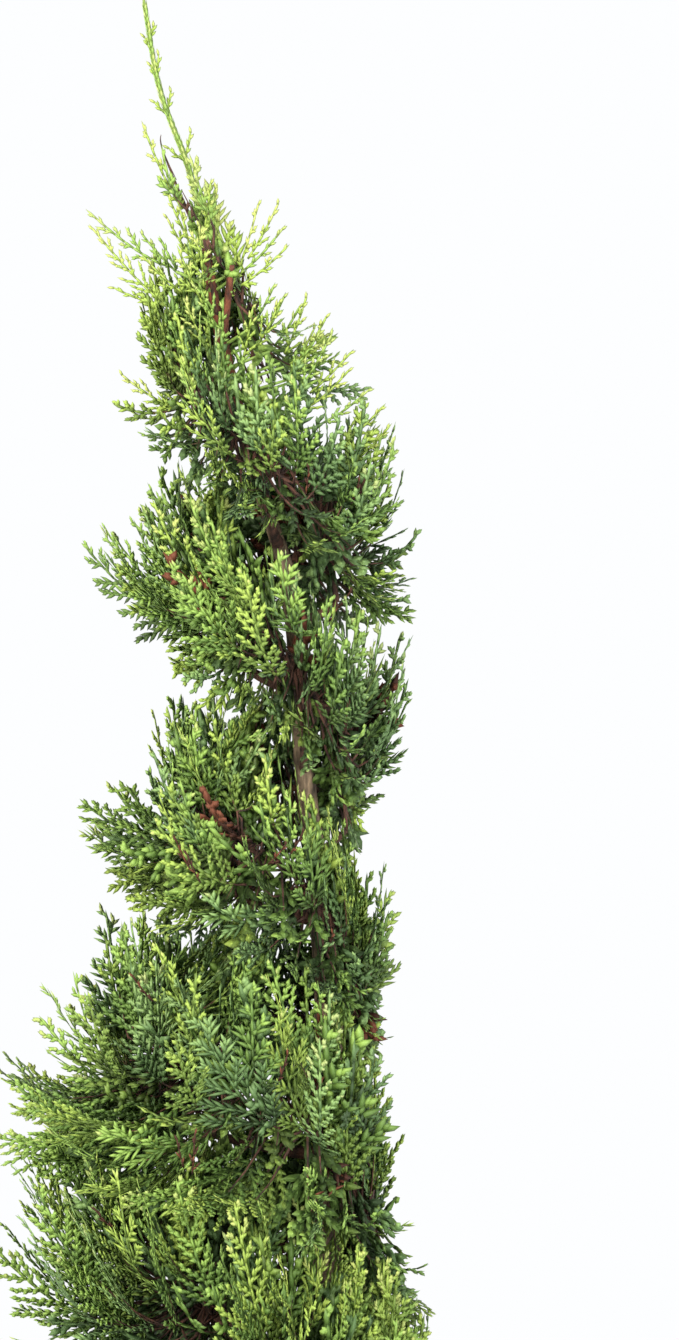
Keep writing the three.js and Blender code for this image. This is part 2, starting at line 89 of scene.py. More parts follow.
TIP_HEIGHT = 1250.0
POT_HEIGHT = 210.0
POT_BASE_RADIUS = 88.0
POT_TOP_RADIUS = 112.0
POT_WALL = 9.0
POT_FLOOR = 12.0
BAND_HEIGHT = 42.0
BAND_PROUD = 7.0
EDGE_ROUND = 3.0
DRAIN_RADIUS = 7.0
DRAIN_CIRCLE = 45.0
DRAIN_COUNT = 3
THROWING_STEP = 4.0
THROWING_DEPTH = 0.12
BAND_RING_STEP = 5.0
BAND_RING_DEPTH = 0.1
POT_SIDES = 144
POLE_RADIUS = 0.01

# Potting mix, and the chips on it
MIX_TOP = 186.0
MIX_MOUND = 4.0
MIX_FLAT_RADIUS = 26.0
MIX_GAP = 0.6
MIX_SINK = 1.5
MIX_ROUGHNESS = 2.2
MIX_ROWS = 60
MIX_SIDES = 160
CHIP_LEAST = 4.0
CHIP_MOST = 13.0
CHIP_CLEAR = 12.0
CHIP_EDGE = 4.0
CHIP_SINK = 0.6
MIX_POLE_RADIUS = 0.02
MIX_LUMP = 7.0
MIX_CRUMB = 2.6

# Three-sided rings of a chip: where each stands along it, and its share of the half width
CHIP_RINGS = ((0.25, 0.9), (0.8, 1.0))
CHIP_RIDGE = 0.8
CHIP_BACK = 0.25

# Trunk stations, from the foot up: height, offset across, offset away, radius
TRUNK_FOOT = 190.35
TRUNK = np.array([
    (TRUNK_FOOT, 0, 0, 11.5),
    (400, 20, 5, 10),
    (580, 31, 2, 8.6),
    (750, 33, -6, 6.8),
    (870, 21, -8, 5.2),
    (960, 13, -4, 4.2),
    (1015, -4, 0, 3.7),
    (1080, -20, 2, 3.1),
    (1160, -35, 0, 2),
    (1205, -51, -2, 1.5),
    (TIP_HEIGHT, -59, -4, 0.9),
], float)
FLARE_HEIGHT = 32.0
FLARE_GROWTH = 0.55
FLARE_LOBES = 5
LOBE_DEPTH = 0.35
TRUNK_SINK = 3.0
TRUNK_ROWS = 480
TRUNK_SIDES = 36
THICK_BARK_RADIUS = 9.0
KNUCKLES = 3
KNUCKLE_HEIGHT = 34.0
KNUCKLE_DEPTH = 0.12
SHEATHED_FROM = 1118.0
SHEATHED_OVER = 20.0
NEW_BARK_FROM = 990.0
NEW_BARK_TO = 1060.0

# Layers of bark relief: how many ridges stand round the stem, the height of each in mm,
# the layer's share, and how far it follows the drift
BARK_LAYERS = ((9, 19, 0.5, 1), (22, 7, 0.32, 2), (36, 2.4, 0.18, 0))
BARK_DRIFT = 1.4

# Clipped outline, from the foot up: height, middle across, middle away, radius
CROWN = np.array([
    (230, 2, -2, 108),
    (290, 0, -4, 128),
    (375, -6, -4, 126),
    (500, -14, -2, 114),
    (596, -15, 0, 101),
    (616, -23, 0, 106),
    (645, -22, 0, 98),
    (678, -43, 0, 86),
    (696, -45, 0, 84),
    (713, -38, 0, 89),
    (729, -34, 0, 97),
    (745, -22, 0, 84),
    (762, -19, 0, 80),
    (778, -7, 0, 71),
    (790, -4, 0, 74),
    (806, -11, 0, 61),
    (836, -23, 0, 75),
    (858, -3, 0, 61),
    (882, 9, 0, 66),
    (915, 14, 0, 61),
    (945, 9, 0, 64),
    (970, -1, 0, 76),
    (1002, 3, 0, 67),
    (1042, 1, 0, 67),
    (1066, -8, 0, 59),
    (1088, -10, 0, 39),
    (1105, -25, 0, 31),
    (1122, -34, 0, 23),
    (1140, -40, 0, 18),
    (1175, -43, 0, 14),
    (1210, -51, 0, 9),
], float)

SPIRAL_TOP = 1135.0
PITCH = 108.5
PITCH_GROWTH = 1.2
SPIRAL_TILT = 12.0
FIRST_TURN = -0.375
SECTORS_PER_TURN = 4
SECTOR_COUNT = 30
SIDES = ("left", "front", "right", "back")
INNER_CLEAR = 4.0
INNER_SHARE = 0.16
MIDDLE_SHARE = 0.45
HALF_THICKNESS = 0.485
SQUARENESS = 0.5
CORE_THICKNESS = 0.33
CORE_LEAST = 8.0
SPRAY_SHARE = 0.36
SPRAY_LEAST = 18.0
SPRAY_MOST = 42.0
SPRAY_SPACING = 6.4
FEWEST_SPRAYS = 8
MOST_SPRAYS = 16
SPRAY_SINK = 0.45
LOWEST_ANGLE = -100.0
HIGHEST_ANGLE = 86.0
UPWARD_TURN = 32.0
SIDEWAYS_TURN = 0.05
STEEPEST = 1.75
ROLL = 1.5
TIP_GATHER = 0.2
LAST_GATHERED = 4.2
LOW_OVERLAP = 0.26
FIRST_OVERLAP = 3.2
GOLDEN = 0.618034
UNEVEN = 0.24
THIN_TOP = -0.75
FULL_TURN = 0.5
THIN_SHARE = 0.5
UPSWEEP = 38.0

# Boughs, their arms and the twigs
BOUGH_REACH = 72.0
BOUGH_FOOT_RADIUS = 3.6
BOUGH_TIP_RADIUS = 1.9
BOUGH_DROP = 0.43
SMALLEST_BOUGH = 0.35
ARM_RADIUS = 1.5
ARM_TAPER = 1.0
ARM_SHORT = 0.015
BEND_DROP = 3.0
LIMB_STEPS = 14
LIMB_SIDES = 14
LIMB_RELIEF = 0.2
TWIG_RADII = (1.0, 0.9, 0.85, 0.8, 0.7, 0.55, 0.3)
TWIG_ALONG_SPRAY = (0.15, 0.3, 0.5)
TWIG_STEPS = 4

# Numbers of the items that repeatable choices are made for
ITEMS_PER_MASS = 100
FIRST_SHOOT_ITEM = 10000
FIRST_TOP_ITEM = 20000
FIRST_DRY_ITEM = 30000
FIRST_SHADED_ITEM = 40000

# Sprays: how far one may reach into the next mass, in turns, from which turn they stand
# and grow to full number, and how each bows, sags and rises, as shares of its length
MASS_OVERLAP = 0.04
FIRST_SPRAY_TURN = -0.1
OUTER_FULL_TURN = 1.0
OUTER_LEAST = 0.12
SHADED_FULL_TURN = 1.8
SHADED_LOWEST = -190.0
SHADED_SPAN = 350.0
DRY_SHARE = 0.03
BOW = 0.07
LEAST_SAG = 0.12
MOST_SAG = 0.26
FLAT_SAG = 0.06
TIP_RISE = 0.8
ROOT_RISE = 0.6
SHADE_COARSENESS = 2.05

# Stems and branchlets of a spray: shares of its length, lengths in mm and angles in degrees
STEM_START = 0.2
STEM_LINK = 5.2
BRANCHLET_START = 0.14
BRANCHLET_SPAN = 0.84
BRANCHLET_LINK = 5.6
FEWEST_BRANCHLETS = 4
LONGEST_BRANCHLET = 0.42
SHORTEST_BRANCHLET = 3.8
BRANCHLET_ANGLE = 46.0
BRANCHLET_CLOSING = 14.0
FINE_CLOSING = 8.0
FORWARD_BEND = 0.35
LINK_OVERLAP = 0.25

# Last shoots, in mm and degrees
BARE_BRANCHLET = 5.0
SHOOT_ANGLE = 34.0
SHOOT_CLOSING = 12.0
SHOOT_LEAST = 2.6
SHOOT_MOST = 10.0
FACE_UNEVEN = 0.08

# A blade's outline from its base: share of its length and of its half width. The ridge is
# the sixth corner.
BLADE_OUTLINE = ((0, 0.85), (0.54, 1), (1, 0), (0.54, -1), (0, -0.85))
BLADE_RIDGE = 0.5
BLADE_FACES = np.array(
    [(5, i, (i + 1) % 5) for i in range(5)] + [(0, i + 1, i) for i in range(1, 4)]
)

# Families of greens, the tones of each, and the tones of dry sprays with their brightness.
# Family numbers count through the greens, and the next one is dry.
FAMILIES = ("warm", "fresh", "cool")
# The deep and dark tones are painted shade: darker, bluer copies of each green.
TONES = ("deep", "dark", "mid", "light", "new")
DRY_TONES = (("dark", 0.38), ("light", 1.0))
DRY_FAMILY = len(FAMILIES)
FIRST_DRY_TONE = DRY_FAMILY * len(TONES)
LAST_TONE = FIRST_DRY_TONE + len(DRY_TONES) - 1
LEAF_ROUGHNESS = 0.52
DRY_ROUGHNESS = 0.7
# How much lighter shoots get towards the outside of their spray: partly new growth at the tips,
# partly painted shade further in
LIGHTER_OUTSIDE = 2.6
# Painted light: the direction of the side at the front left, where the key light falls, whose
# sprays take more warm greens
KEY_LIT_SIDE = 215.0

# Shoots grown out past the outline: turn, angle round the section, length past it
SHOOTS = np.array([
    (0.3, -50, 10),
    (0.27, -14, 8),
    (0.7, 30, 10),
    (0.72, 64, 10),
    (0.76, -4, 8),
    (0.79, 24, 12),
    (0.82, 34, 8),
    (1.2, 68, 9),
    (1.27, 90, 14),
    (1.24, -4, 8),
    (1.29, -22, 8),
    (1.28, -46, 8),
    (1.22, -56, 6),
    (1.26, 80, 8),
    (1.72, 6, 12),
    (1.74, 0, 16),
    (1.78, 12, 14),
    (1.74, -45, 4),
    (1.8, -50, 4),
    (1.7, -60, 6),
    (2.22, 74, 12),
    (2.28, 66, 8),
    (2.74, -40, 2),
    (2.8, -50, 2),
    (2.69, -32, 4),
    (2.75, 0, 20),
    (2.77, -2, 14),
    (2.79, 10, 6),
    (2.74, 40, 10),
    (2.93, -62, -8),
    (2.98, -55, -6),
    (3.04, -45, -10),
    (3.25, 58, 9),
    (3.22, 62, 26),
    (3.28, 52, 20),
    (3.71, 36, 8),
    (3.77, 12, 8),
    (3.73, 0, 5),
    (3.76, 5, 4),
    (3.74, 8, 2),
    (3.72, -8, 2),
    (3.79, -4, 8),
    (3.7, 12, 6),
    (3.7, 60, 30),
    (3.76, 58, 32),
    (3.8, 63, 24),
    (3.96, 88, 0),
    (4.0, 84, -6),
    (4.05, 90, -10),
    (3.66, 80, 4),
    (3.81, 74, 4),
    (3.73, -42, 18),
    (4.71, 84, 34),
    (4.79, 66, 22),
    (4.3, 88, -8),
    (4.38, 84, -4),
    (4.46, 88, -8),
    (4.75, 20, 8),
    (4.75, -10, 8),
    (4.72, 60, 24),
    (4.76, 2, 10),
    (4.75, 3, 8),
    (4.77, 4, 12),
    (4.78, 8, 12),
    (4.73, 14, 8),
    (4.8, -6, 10),
    (3.7, -70, 6),
    (3.74, -60, 10),
    (3.8, -66, 8),
    (3.86, -74, 0),
    (4.68, 76, 10),
    (4.74, 74, 12),
    (4.82, 82, 6),
    (4.88, 88, 0),
    (3.45, -78, -6),
    (3.52, -70, -4),
    (3.58, -76, -6),
    (4.42, 78, 0),
    (4.5, 86, -4),
    (4.56, 80, -2),
    (4.6, 88, -4),
    (3.98, 20, -12),
    (4.04, 0, -14),
    (4.08, 40, -12),
], float)

STUB_FOOT = 1078.0
STUB_TIP = np.array([-15.0, -7.0, 1117.0])
STUB_FOOT_RADIUS = 2.1
STUB_TIP_RADIUS = 1.61

# Sprays at the thin top, as they stand: root and tip, each across, away and up, then width
TOP_SPRAYS = np.array([
    (-35, -3, 1138, -60, -8, 1189, 0.55),
    (-34, -6, 1134, -33, -11, 1171, 0.6),
    (-27, -4, 1129, -22, -7, 1158, 0.5),
    (-43, -2, 1114, -88, -6, 1145, 0.75),
    (-45, -8, 1094, -86, -12, 1137, 0.6),
    (-48, -6, 1097, -75, -10, 1106, 0.6),
    (-21, -2, 1094, -1, -6, 1150, 0.5),
    (-10, -4, 1116, 9, -8, 1149, 0.6),
    (-12, -5, 1112, 12, -9, 1137, 0.6),
    (-15, -5, 1104, 14, -10, 1127, 0.6),
    (-6, -8, 1085, 7, -14, 1108, 0.9),
    (0, 0, 1080, 12, -2, 1104, 0.9),
    (4, -4, 1074, 20, -8, 1098, 0.7),
    (11, -6, 1066, 32, -10, 1082, 0.9),
    (-38, -4, 1125, -48, -9, 1142, 0.8),
    (-41, -8, 1113, -51, -15, 1131, 0.8),
    (-30, 4, 1106, -26, 10, 1138, 0.7),
    (-38, 6, 1110, -62, 16, 1136, 0.8),
    (-22, 6, 1086, -12, 20, 1106, 0.8),
    (-26, -6, 1092, -42, -17, 1126, 1.0),
    (-20, -6, 1078, -32, -19, 1110, 1.1),
    (-20, -6, 1072, -19, -18, 1100, 1.0),
    (-30, -5, 1110, -41, -13, 1146, 0.8),
    (-31, -5, 1120, -25, -12, 1160, 0.7),
    (-34, -4, 1100, -60, -12, 1122, 0.9),
    (-36, -5, 1128, -47, -12, 1152, 0.7),
    (-28, -6, 1100, -31, -19, 1138, 1.1),
    (-24, -8, 1070, -38, -22, 1098, 1.2),
    (-10, -8, 1066, -4, -20, 1096, 1.1),
    (-6, -8, 1072, 10, -18, 1100, 1.0),
    (8, -8, 1056, 30, -18, 1084, 1.1),
    (16, -6, 1042, 45, -12, 1066, 0.9),
    (20, -4, 1050, 46, -8, 1075, 0.8),
    (9, -5, 1068, 23, -9, 1103, 0.7),
    (13, -2, 1060, 33, -4, 1093, 0.8),
    (15, -9, 1050, 36, -15, 1084, 0.8),
    (12, 2, 1058, 27, 6, 1088, 0.9),
    (26, -6, 1036, 55, -10, 1056, 0.8),
    (32, -4, 1024, 62, -8, 1048, 0.8),
    (35, -6, 1012, 65, -10, 1038, 0.8),
    (-32, -4, 1042, -71, -10, 1063, 0.8),
], float)

# Scale leaves that sheath the leader's stem, and where they start
SCALES = 150
SCALES_FROM = 1130.0
SHEATH_FROM = 1128.0

# Gaps where no spray ends nearer the viewer than GAP_FRONT: across, up, half width and
# half height
GAP_FRONT = -8.0
GAPS = ((22.6, 1025, 5.2, 4), (48.4, 1021, 4, 3), (40, 880, 7, 11), (36.5, 725, 7, 6))

# Dry brown sprays: root and tip, each across, away and up
DRY_SPRAYS = np.array([
    (44, -34, 996, 49, -40, 1010),
    (47, -32, 998, 52, -36, 1012),
    (28, -30, 936, 46, -38, 956),
    (-32, -62, 815, -42, -68, 836),
    (-28, -60, 810, -36, -70, 828),
    (14, -52, 824, 22, -60, 838),
    (2, -50, 818, 14, -60, 832),
    (-33, -70, 668, -31, -78, 694),
    (-36, -72, 672, -40, -80, 690),
    (33, -40, 776, 36, -46, 788),
    (-28, -10, 1100, -26, -14, 1118),
    (-8, -34, 1010, -2, -42, 1024),
    (22, -40, 1000, 24, -48, 1016),
    (-50, -60, 752, -62, -72, 768),
    (8, -60, 712, 14, -70, 730),
    (-70, -50, 640, -82, -56, 654),
    (20, -66, 560, 28, -78, 580),
    (-30, -84, 470, -34, -94, 492),
    (50, 30, 700, 58, 36, 714),
    (-40, 60, 800, -50, 68, 818),
    (40, 66, 560, 48, 76, 578),
    (-60, 70, 430, -68, 80, 450),
], float)

# Side sprays of the leader, from the lowest: height, side, how far up and out each reaches
LEADER_SPRAYS = np.array([
    (1138, 1, 20, 8),
    (1155, 1, 17, 2),
    (1169, -1, 8, 10),
    (1171, 1, 15, 3),
    (1192, -1, 8, 8),
    (1194, 1, 12, 2),
    (1209, -1, 9, 4),
    (1211, 1, 12, 1),
    (1224, -1, 8, 4),
    (1230, 1, 7, 2),
], float)

# The course of each spray on the ribbon, and the spray that grows along it
Courses = namedtuple("Courses", "mass item turn angle root tip facing")
Sprays = namedtuple("Sprays", "root tip facing item sag")

# Side branchlets, by where each leaves its spray, and shoots, by the spray that owns each.
# share and outer say how near to its spray's tip each stands.
Branchlets = namedtuple("Branchlets", "place way bend face length share mark rank owner")
Shoots = namedtuple("Shoots", "start way length wide face owner outer")


def chance(i, k):
    """A repeatable number from 0 to 1 for choice k about item i: the fraction of a big sine."""
    s = np.asarray(i, float) * SINE_STEPS[0] + np.asarray(k, float) * SINE_STEPS[1]
    s = np.sin(s) * SINE_SIZE
    return s - np.floor(s)


def between(low, high, i, k):
    """A repeatable number from low to high for choice k about item i."""
    return low + (high - low) * chance(i, k)


def along(stations, column, z):
    """The value of a column at height z, on a cubic curve through the stations whose slope
    at each station is that of the line between its neighbours."""
    heights, values = stations[:, 0], stations[:, column]
    last = len(heights) - 1
    z = np.asarray(z, float)
    i = np.clip(np.searchsorted(heights, z, side="left") - 1, 0, last - 1)
    low, high = np.maximum(i - 1, 0), np.minimum(i + 2, last)
    gap = heights[i + 1] - heights[i]
    s = np.clip((z - heights[i]) / gap, 0, 1)
    m0 = (values[i + 1] - values[low]) / (heights[i + 1] - heights[low]) * gap
    m1 = (values[high] - values[i]) / (heights[high] - heights[i]) * gap
    rise = values[i + 1] - values[i]
    return values[i] + m0 * s + (3 * rise - 2 * m0 - m1) * s**2 + (m0 + m1 - 2 * rise) * s**3


def trunk_point(z):
    """The middle of the trunk at height z."""
    z = np.asarray(z, float)
    return np.stack([along(TRUNK, 1, z), along(TRUNK, 2, z), z], axis=-1)


def trunk_radius(z):
    """The trunk's radius at height z, without the root flare."""
    return along(TRUNK, 3, z)


def direction_at(t):
    """The compass direction of the ribbon at turn t: whole turns face front."""
    return TURN * (np.asarray(t, float) - 0.25)


def pitch_at(t):
    """How far apart neighbouring turns are at turn t."""
    return PITCH + 2 * PITCH_GROWTH * np.asarray(t, float)


def ribbon_height(t):
    """The height of the ribbon's middle: it falls by the pitch each turn, and every turn is
    tilted up towards the left."""
    t = np.asarray(t, float)
    fall = PITCH * t + PITCH_GROWTH * t**2
    return SPIRAL_TOP - fall - SPIRAL_TILT * np.cos(direction_at(t))


def reach_at(a, z):
    """The distance from the trunk to the clipped outline in direction a at height z: where a
    ray from the trunk leaves the outline's circle."""
    foot = trunk_point(z)
    dx = foot[..., 0] - along(CROWN, 1, z)
    dy = foot[..., 1] - along(CROWN, 2, z)
    r = along(CROWN, 3, z)
    b = dx * np.cos(a) + dy * np.sin(a)
    return np.sqrt(np.maximum(b**2 - dx**2 - dy**2 + r**2, 1)) - b


def ribbon_point(t, r, h):
    """The point at distance r from the trunk at turn t, h above the ribbon's middle."""
    point = trunk_point(ribbon_height(t) + h)
    a = direction_at(t)
    point[..., 0] += r * np.cos(a)
    point[..., 1] += r * np.sin(a)
    return point


def section_at(t):
    """The ribbon's section at turn t: the outline's and the core's middle distance, half
    width and half height, and the reach. Low turns are so full that they overlap."""
    z = ribbon_height(t)
    reach = reach_at(direction_at(t), z)
    inner = np.maximum(trunk_radius(z) + INNER_CLEAR, reach * INNER_SHARE)
    middle = inner + MIDDLE_SHARE * (reach - inner)
    outside = np.clip(reach * SPRAY_SHARE, SPRAY_LEAST, SPRAY_MOST)
    core_outer = np.maximum(reach - outside, inner + CORE_LEAST)
    full = np.clip((t - THIN_TOP) / (FULL_TURN - THIN_TOP), 0, 1)
    thickness = HALF_THICKNESS * pitch_at(t) * (THIN_SHARE + (1 - THIN_SHARE) * full)
    thickness = thickness * (1 + LOW_OVERLAP * np.clip(t - FIRST_OVERLAP, 0, 1))
    outline = (middle, reach - middle, thickness)
    core = (
        (inner + core_outer) / 2,
        (core_outer - inner) / 2,
        CORE_THICKNESS * pitch_at(t) * full,
    )
    return reach, outline, core


def fuller(s):
    """A sine or cosine pushed away from 0, which makes an ellipse fuller."""
    return np.sign(s) * np.abs(s) ** SQUARENESS


def on_section(t, oval, q):
    """The point at angle q round an oval of the section, fuller than an ellipse."""
    r, a, b = oval
    return ribbon_point(t, r + a * fuller(np.cos(q)), b * fuller(np.sin(q)))


def on_outline(t, past, q, share=1.0):
    """The point at angle q on the clipped outline, widened by past and shrunk to a share. Its
    distance from the trunk follows the outline's reach at the point's own height."""
    reach, (r, a, b), _ = section_at(t)
    point = on_section(t, (r, (a + past) * share, b * share), q)
    foot = trunk_point(point[..., 2])
    here = (reach_at(direction_at(t), point[..., 2]) / reach)[..., None]
    return foot + (point - foot) * here


def unit(v):
    """Vectors made one long."""
    return v / np.maximum(np.linalg.norm(v, axis=-1, keepdims=True), 1e-9)


def spray_courses(item, t, q, past, first, last, share=1.0, sink=SPRAY_SINK):
    """Where sprays root, where they reach, and the way their faces look. Each roots in the
    core at turn t and below angle q, leans upward and a little sideways, and ends on the
    outline widened by past and shrunk to a share. Tips of the upper turns gather at the
    middle of their side."""
    _, _, core = section_at(t)
    low = q - np.radians(UPSWEEP) * chance(item, 9) ** 0.5
    base = on_section(t, core, low)
    base += (on_section(t, core, low + np.pi) - base) * sink / 2
    end = np.clip(t + between(-SIDEWAYS_TURN, SIDEWAYS_TURN, item, 3), first, last)
    up = np.radians(UPWARD_TURN * between(0.7, 1.3, item, 4))
    turned = np.minimum(q + up, STEEPEST)
    gather = TIP_GATHER * np.clip(LAST_GATHERED - t, 0, 1)
    tip = on_outline(end, past, turned - gather * np.sin(2 * turned), share)
    a = direction_at(t)
    ring = np.stack([-np.sin(a), np.cos(a), np.zeros_like(a)], axis=-1)
    ahead = unit(tip - base)
    normal = unit(np.cross(ring, ahead))
    roll = between(-ROLL, ROLL, item, 5)[:, None]
    normal = normal * np.cos(roll) + np.cross(ahead, normal) * np.sin(roll)
    return base, tip, normal


def raise_tip(tip, rise):
    """A tip raised, and moved in or out by as much as the outline's reach changes there."""
    foot = trunk_point(tip[:, 2])
    out = tip - foot
    a = np.arctan2(out[:, 1], out[:, 0])
    height = tip[:, 2] + rise
    share = reach_at(a, height) / reach_at(a, tip[:, 2])
    return trunk_point(height) + out * share[:, None]


def mass_span(m):
    """The first and last turn of mass m."""
    start = FIRST_TURN + m / SECTORS_PER_TURN
    return start, start + 1 / SECTORS_PER_TURN


def mass_name(m):
    """The name that mass m's nodes share."""
    turn = (m + SECTORS_PER_TURN - 1) // SECTORS_PER_TURN
    return f"turn_{turn}_{SIDES[m % SECTORS_PER_TURN]}"


def half_turn(m):
    """The half turn that mass m belongs to: even ones are in front, and odd ones behind."""
    return (m + SECTORS_PER_TURN - 1) // 2


# Meshes


def srgb(text):
    """A linear colour from an sRGB hex value."""
    c = np.array([int(text[i:i + 2], 16) for i in (1, 3, 5)]) / 255
    linear = np.where(c <= 0.04045, c / 12.92, ((c + 0.055) / 1.055) ** 2.4)
    return (*linear.tolist(), 1.0)


def make_piece(name, vertices, faces, materials, kinds=None, smooth=True, replaced=()):
    """Puts whole arrays of vertices, in millimetres, and of faces into a mesh, and has its
    object ride on the frame. kinds gives the material of each face."""
    mesh = bpy.data.meshes.new(name)
    sides = faces.shape[1]
    mesh.vertices.add(len(vertices))
    mesh.vertices.foreach_set("co", (vertices * MM).astype(np.float32).ravel())
    mesh.loops.add(faces.size)
    mesh.loops.foreach_set("vertex_index", faces.astype(np.int32).ravel())
    mesh.polygons.add(len(faces))
    mesh.polygons.foreach_set("loop_start", np.arange(0, faces.size, sides, dtype=np.int32))
    mesh.polygons.foreach_set("loop_total", np.full(len(faces), sides, np.int32))
    for material in materials:
        mesh.materials.append(material)
    if kinds is not None:
        mesh.polygons.foreach_set("material_index", kinds.astype(np.int32))
    mesh.polygons.foreach_set("use_smooth", np.full(len(faces), smooth))
    mesh.update(calc_edges=True)
    mesh.validate()
    piece = bpy.data.objects.new(name, mesh)
    bpy.context.scene.collection.objects.link(piece)
    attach(piece, "root")
    if replaced:
        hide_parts(*replaced)
    return piece


def grid_faces(rows, columns, closed=True):
    """Quads between the neighbouring points of a grid whose rows are rings."""
    k, i = np.meshgrid(np.arange(rows - 1), np.arange(columns if closed else columns - 1))
    a = (k * columns + i).ravel()
    b = (k * columns + (i + 1) % columns).ravel()
    return np.stack([a, b, b + columns, a + columns], axis=1)


def ring_directions(sides):
    """The directions of the points of a ring, counted from +X."""
    return TURN * np.arange(sides) / sides


def round_points(r, a, z):
    """Points at distance r from the axis in direction a, at height z."""
    x, y = r * np.cos(a), r * np.sin(a)
    return np.stack([x, y, np.broadcast_to(z, x.shape)], axis=-1)


def three_point_curve(start, bend, end, s):
    """Points at shares s on a curve from start to end that heads for bend on its way: the
    three are blended by the shares' squares."""
    return start * (1 - s) ** 2 + 2 * bend * s * (1 - s) + end * s**2


def tubes(paths, radii, sides, relief=1.0):
    """Round tubes carried along many paths at once: each ring is a circle across the path,
    scaled by relief, and each end is closed on its middle. paths is (n, k, 3) and radii is
    (n, k). Returns vertices and triangles."""
    n, k, _ = paths.shape
    ahead = unit(np.gradient(paths, axis=1))
    side = unit(np.cross(ahead, UNUSED_WAY))
    other = np.cross(ahead, side)
    a = ring_directions(sides)
    r = radii[:, :, None] * relief * np.ones(sides)
    rings = (
        paths[:, :, None]
        + (r * np.cos(a))[..., None] * side[:, :, None]
        + (r * np.sin(a))[..., None] * other[:, :, None]
    )
    ends = paths[:, [0, -1]]
    vertices = np.concatenate([rings.reshape(n, -1, 3), ends], axis=1)
    quads = grid_faces(k, sides)
    walls = np.concatenate([quads[:, [0, 1, 2]], quads[:, [0, 2, 3]]])
    i = np.arange(sides)
    j = (i + 1) % sides
    foot = np.stack([np.full(sides, k * sides), j, i], axis=1)
    top = (k - 1) * sides
    head = np.stack([np.full(sides, k * sides + 1), top + i, top + j], axis=1)
    one = np.concatenate([walls, foot, head])
    stride = k * sides + 2
    faces = one[None] + (np.arange(n) * stride)[:, None, None]
    return vertices.reshape(-1, 3), faces.reshape(-1, 3)


def spindles(start, direction, length, half_width, facing):
    """Chips: three-sided spindles that are flat behind and ridged the way they face, each
    from a point through its rings to a point. Returns vertices and triangles."""
    side = unit(np.cross(direction, facing))
    thick = np.cross(side, direction)
    corners = [start]
    for share, width in CHIP_RINGS:
        middle = start + direction * (share * length)[:, None]
        wide = (width * half_width)[:, None]
        corners += [
            middle - side * wide - thick * wide * CHIP_BACK,
            middle + thick * wide * CHIP_RIDGE,
            middle + side * wide - thick * wide * CHIP_BACK,
        ]
    corners.append(start + direction * length[:, None])
    vertices = np.stack(corners, axis=1)
    count = len(CHIP_RINGS)
    end = 3 * count + 1
    one = []
    for i in range(3):
        j = (i + 1) % 3
        one.append((0, 1 + j, 1 + i))
        one.append((end, end - 3 + i, end - 3 + j))
        for k in range(count - 1):
            low, high = 1 + 3 * k, 4 + 3 * k
            one.append((low + i, low + j, high + j))
            one.append((low + i, high + j, high + i))
    faces = np.array(one)[None] + (np.arange(len(start)) * (end + 1))[:, None, None]
    return vertices.reshape(-1, 3), faces.reshape(-1, 3)


def blades(start, direction, length, half_width, facing):
    """Shoots and links of scale leaves: flat blades that widen from their base and close in
    a short point, ridged the way they face and flat behind. Returns vertices and triangles."""
    side = unit(np.cross(direction, facing))
    thick = np.cross(side, direction)
    corners = [
        start + direction * (share * length)[:, None] + side * (width * half_width)[:, None]
        for share, width in BLADE_OUTLINE
    ]
    middle = start + direction * (length / 2)[:, None]
    corners.append(middle + thick * (BLADE_RIDGE * half_width)[:, None])
    vertices = np.stack(corners, axis=1)
    faces = BLADE_FACES[None] + (np.arange(len(start)) * len(corners))[:, None, None]
    return vertices.reshape(-1, 3), faces.reshape(-1, 3)


def smooth_noise(u, v, seed, wrap=None):
    """Value noise: repeatable numbers on a unit grid, blended smoothly between its corners.
    wrap makes it repeat along u."""
    iu, iv = np.floor(u), np.floor(v)
    fu, fv = u - iu, v - iv
    fu, fv = fu * fu * (3 - 2 * fu), fv * fv * (3 - 2 * fv)

    def corner(a, b):
        """The number at a corner of the grid."""
        a = np.mod(a, wrap) if wrap else a
        return chance(a * NOISE_STEPS[0] + b * NOISE_STEPS[1] + seed, seed)

    low = corner(iu, iv) * (1 - fu) + corner(iu + 1, iv) * fu
    high = corner(iu, iv + 1) * (1 - fu) + corner(iu + 1, iv + 1) * fu
    return low * (1 - fv) + high * fv


# Materials

# The numbers of a Mix node's sockets for colours
MIX_FACTOR, MIX_FIRST, MIX_SECOND, MIX_RESULT = 0, 6, 7, 2


def add_node(tree, kind, inputs=(), stops=(), **settings):
    """Adds a node, sets its settings and the stops of its colour ramp, and links or sets its
    inputs. Returns its outputs."""
    node = tree.nodes.new(kind)
    for key, value in settings.items():
        setattr(node, key, value)
    for key, value in dict(inputs).items():
        if isinstance(value, bpy.types.NodeSocket):
            tree.links.new(value, node.inputs[key])
        else:
            node.inputs[key].default_value = value
    if stops:
        elements = node.color_ramp.elements
        for _ in stops[2:]:
            elements.new(0.5)
        for element, (position, colour) in zip(elements, stops):
            element.position = position
            element.color = colour
    return node.outputs


def new_material(name):
    """An empty node material, with its Object coordinates and its surface input."""
    material = bpy.data.materials.new(name)
    material.use_nodes = True
    tree = material.node_tree
    tree.nodes.clear()
    surface = tree.nodes.new("ShaderNodeOutputMaterial").inputs["Surface"]
    place = add_node(tree, "ShaderNodeTexCoord")["Object"]
    return material, tree, surface, place


def per_metre(millimetres):
    """How many patches of this size stand in a metre: the scale of a noise pattern."""
    return 1 / (millimetres * MM)


def shade(colour, share):
    """A colour made darker or lighter by a share, with full opacity."""
    return (*(min(c * share, 1.0) for c in colour[:3]), 1.0)


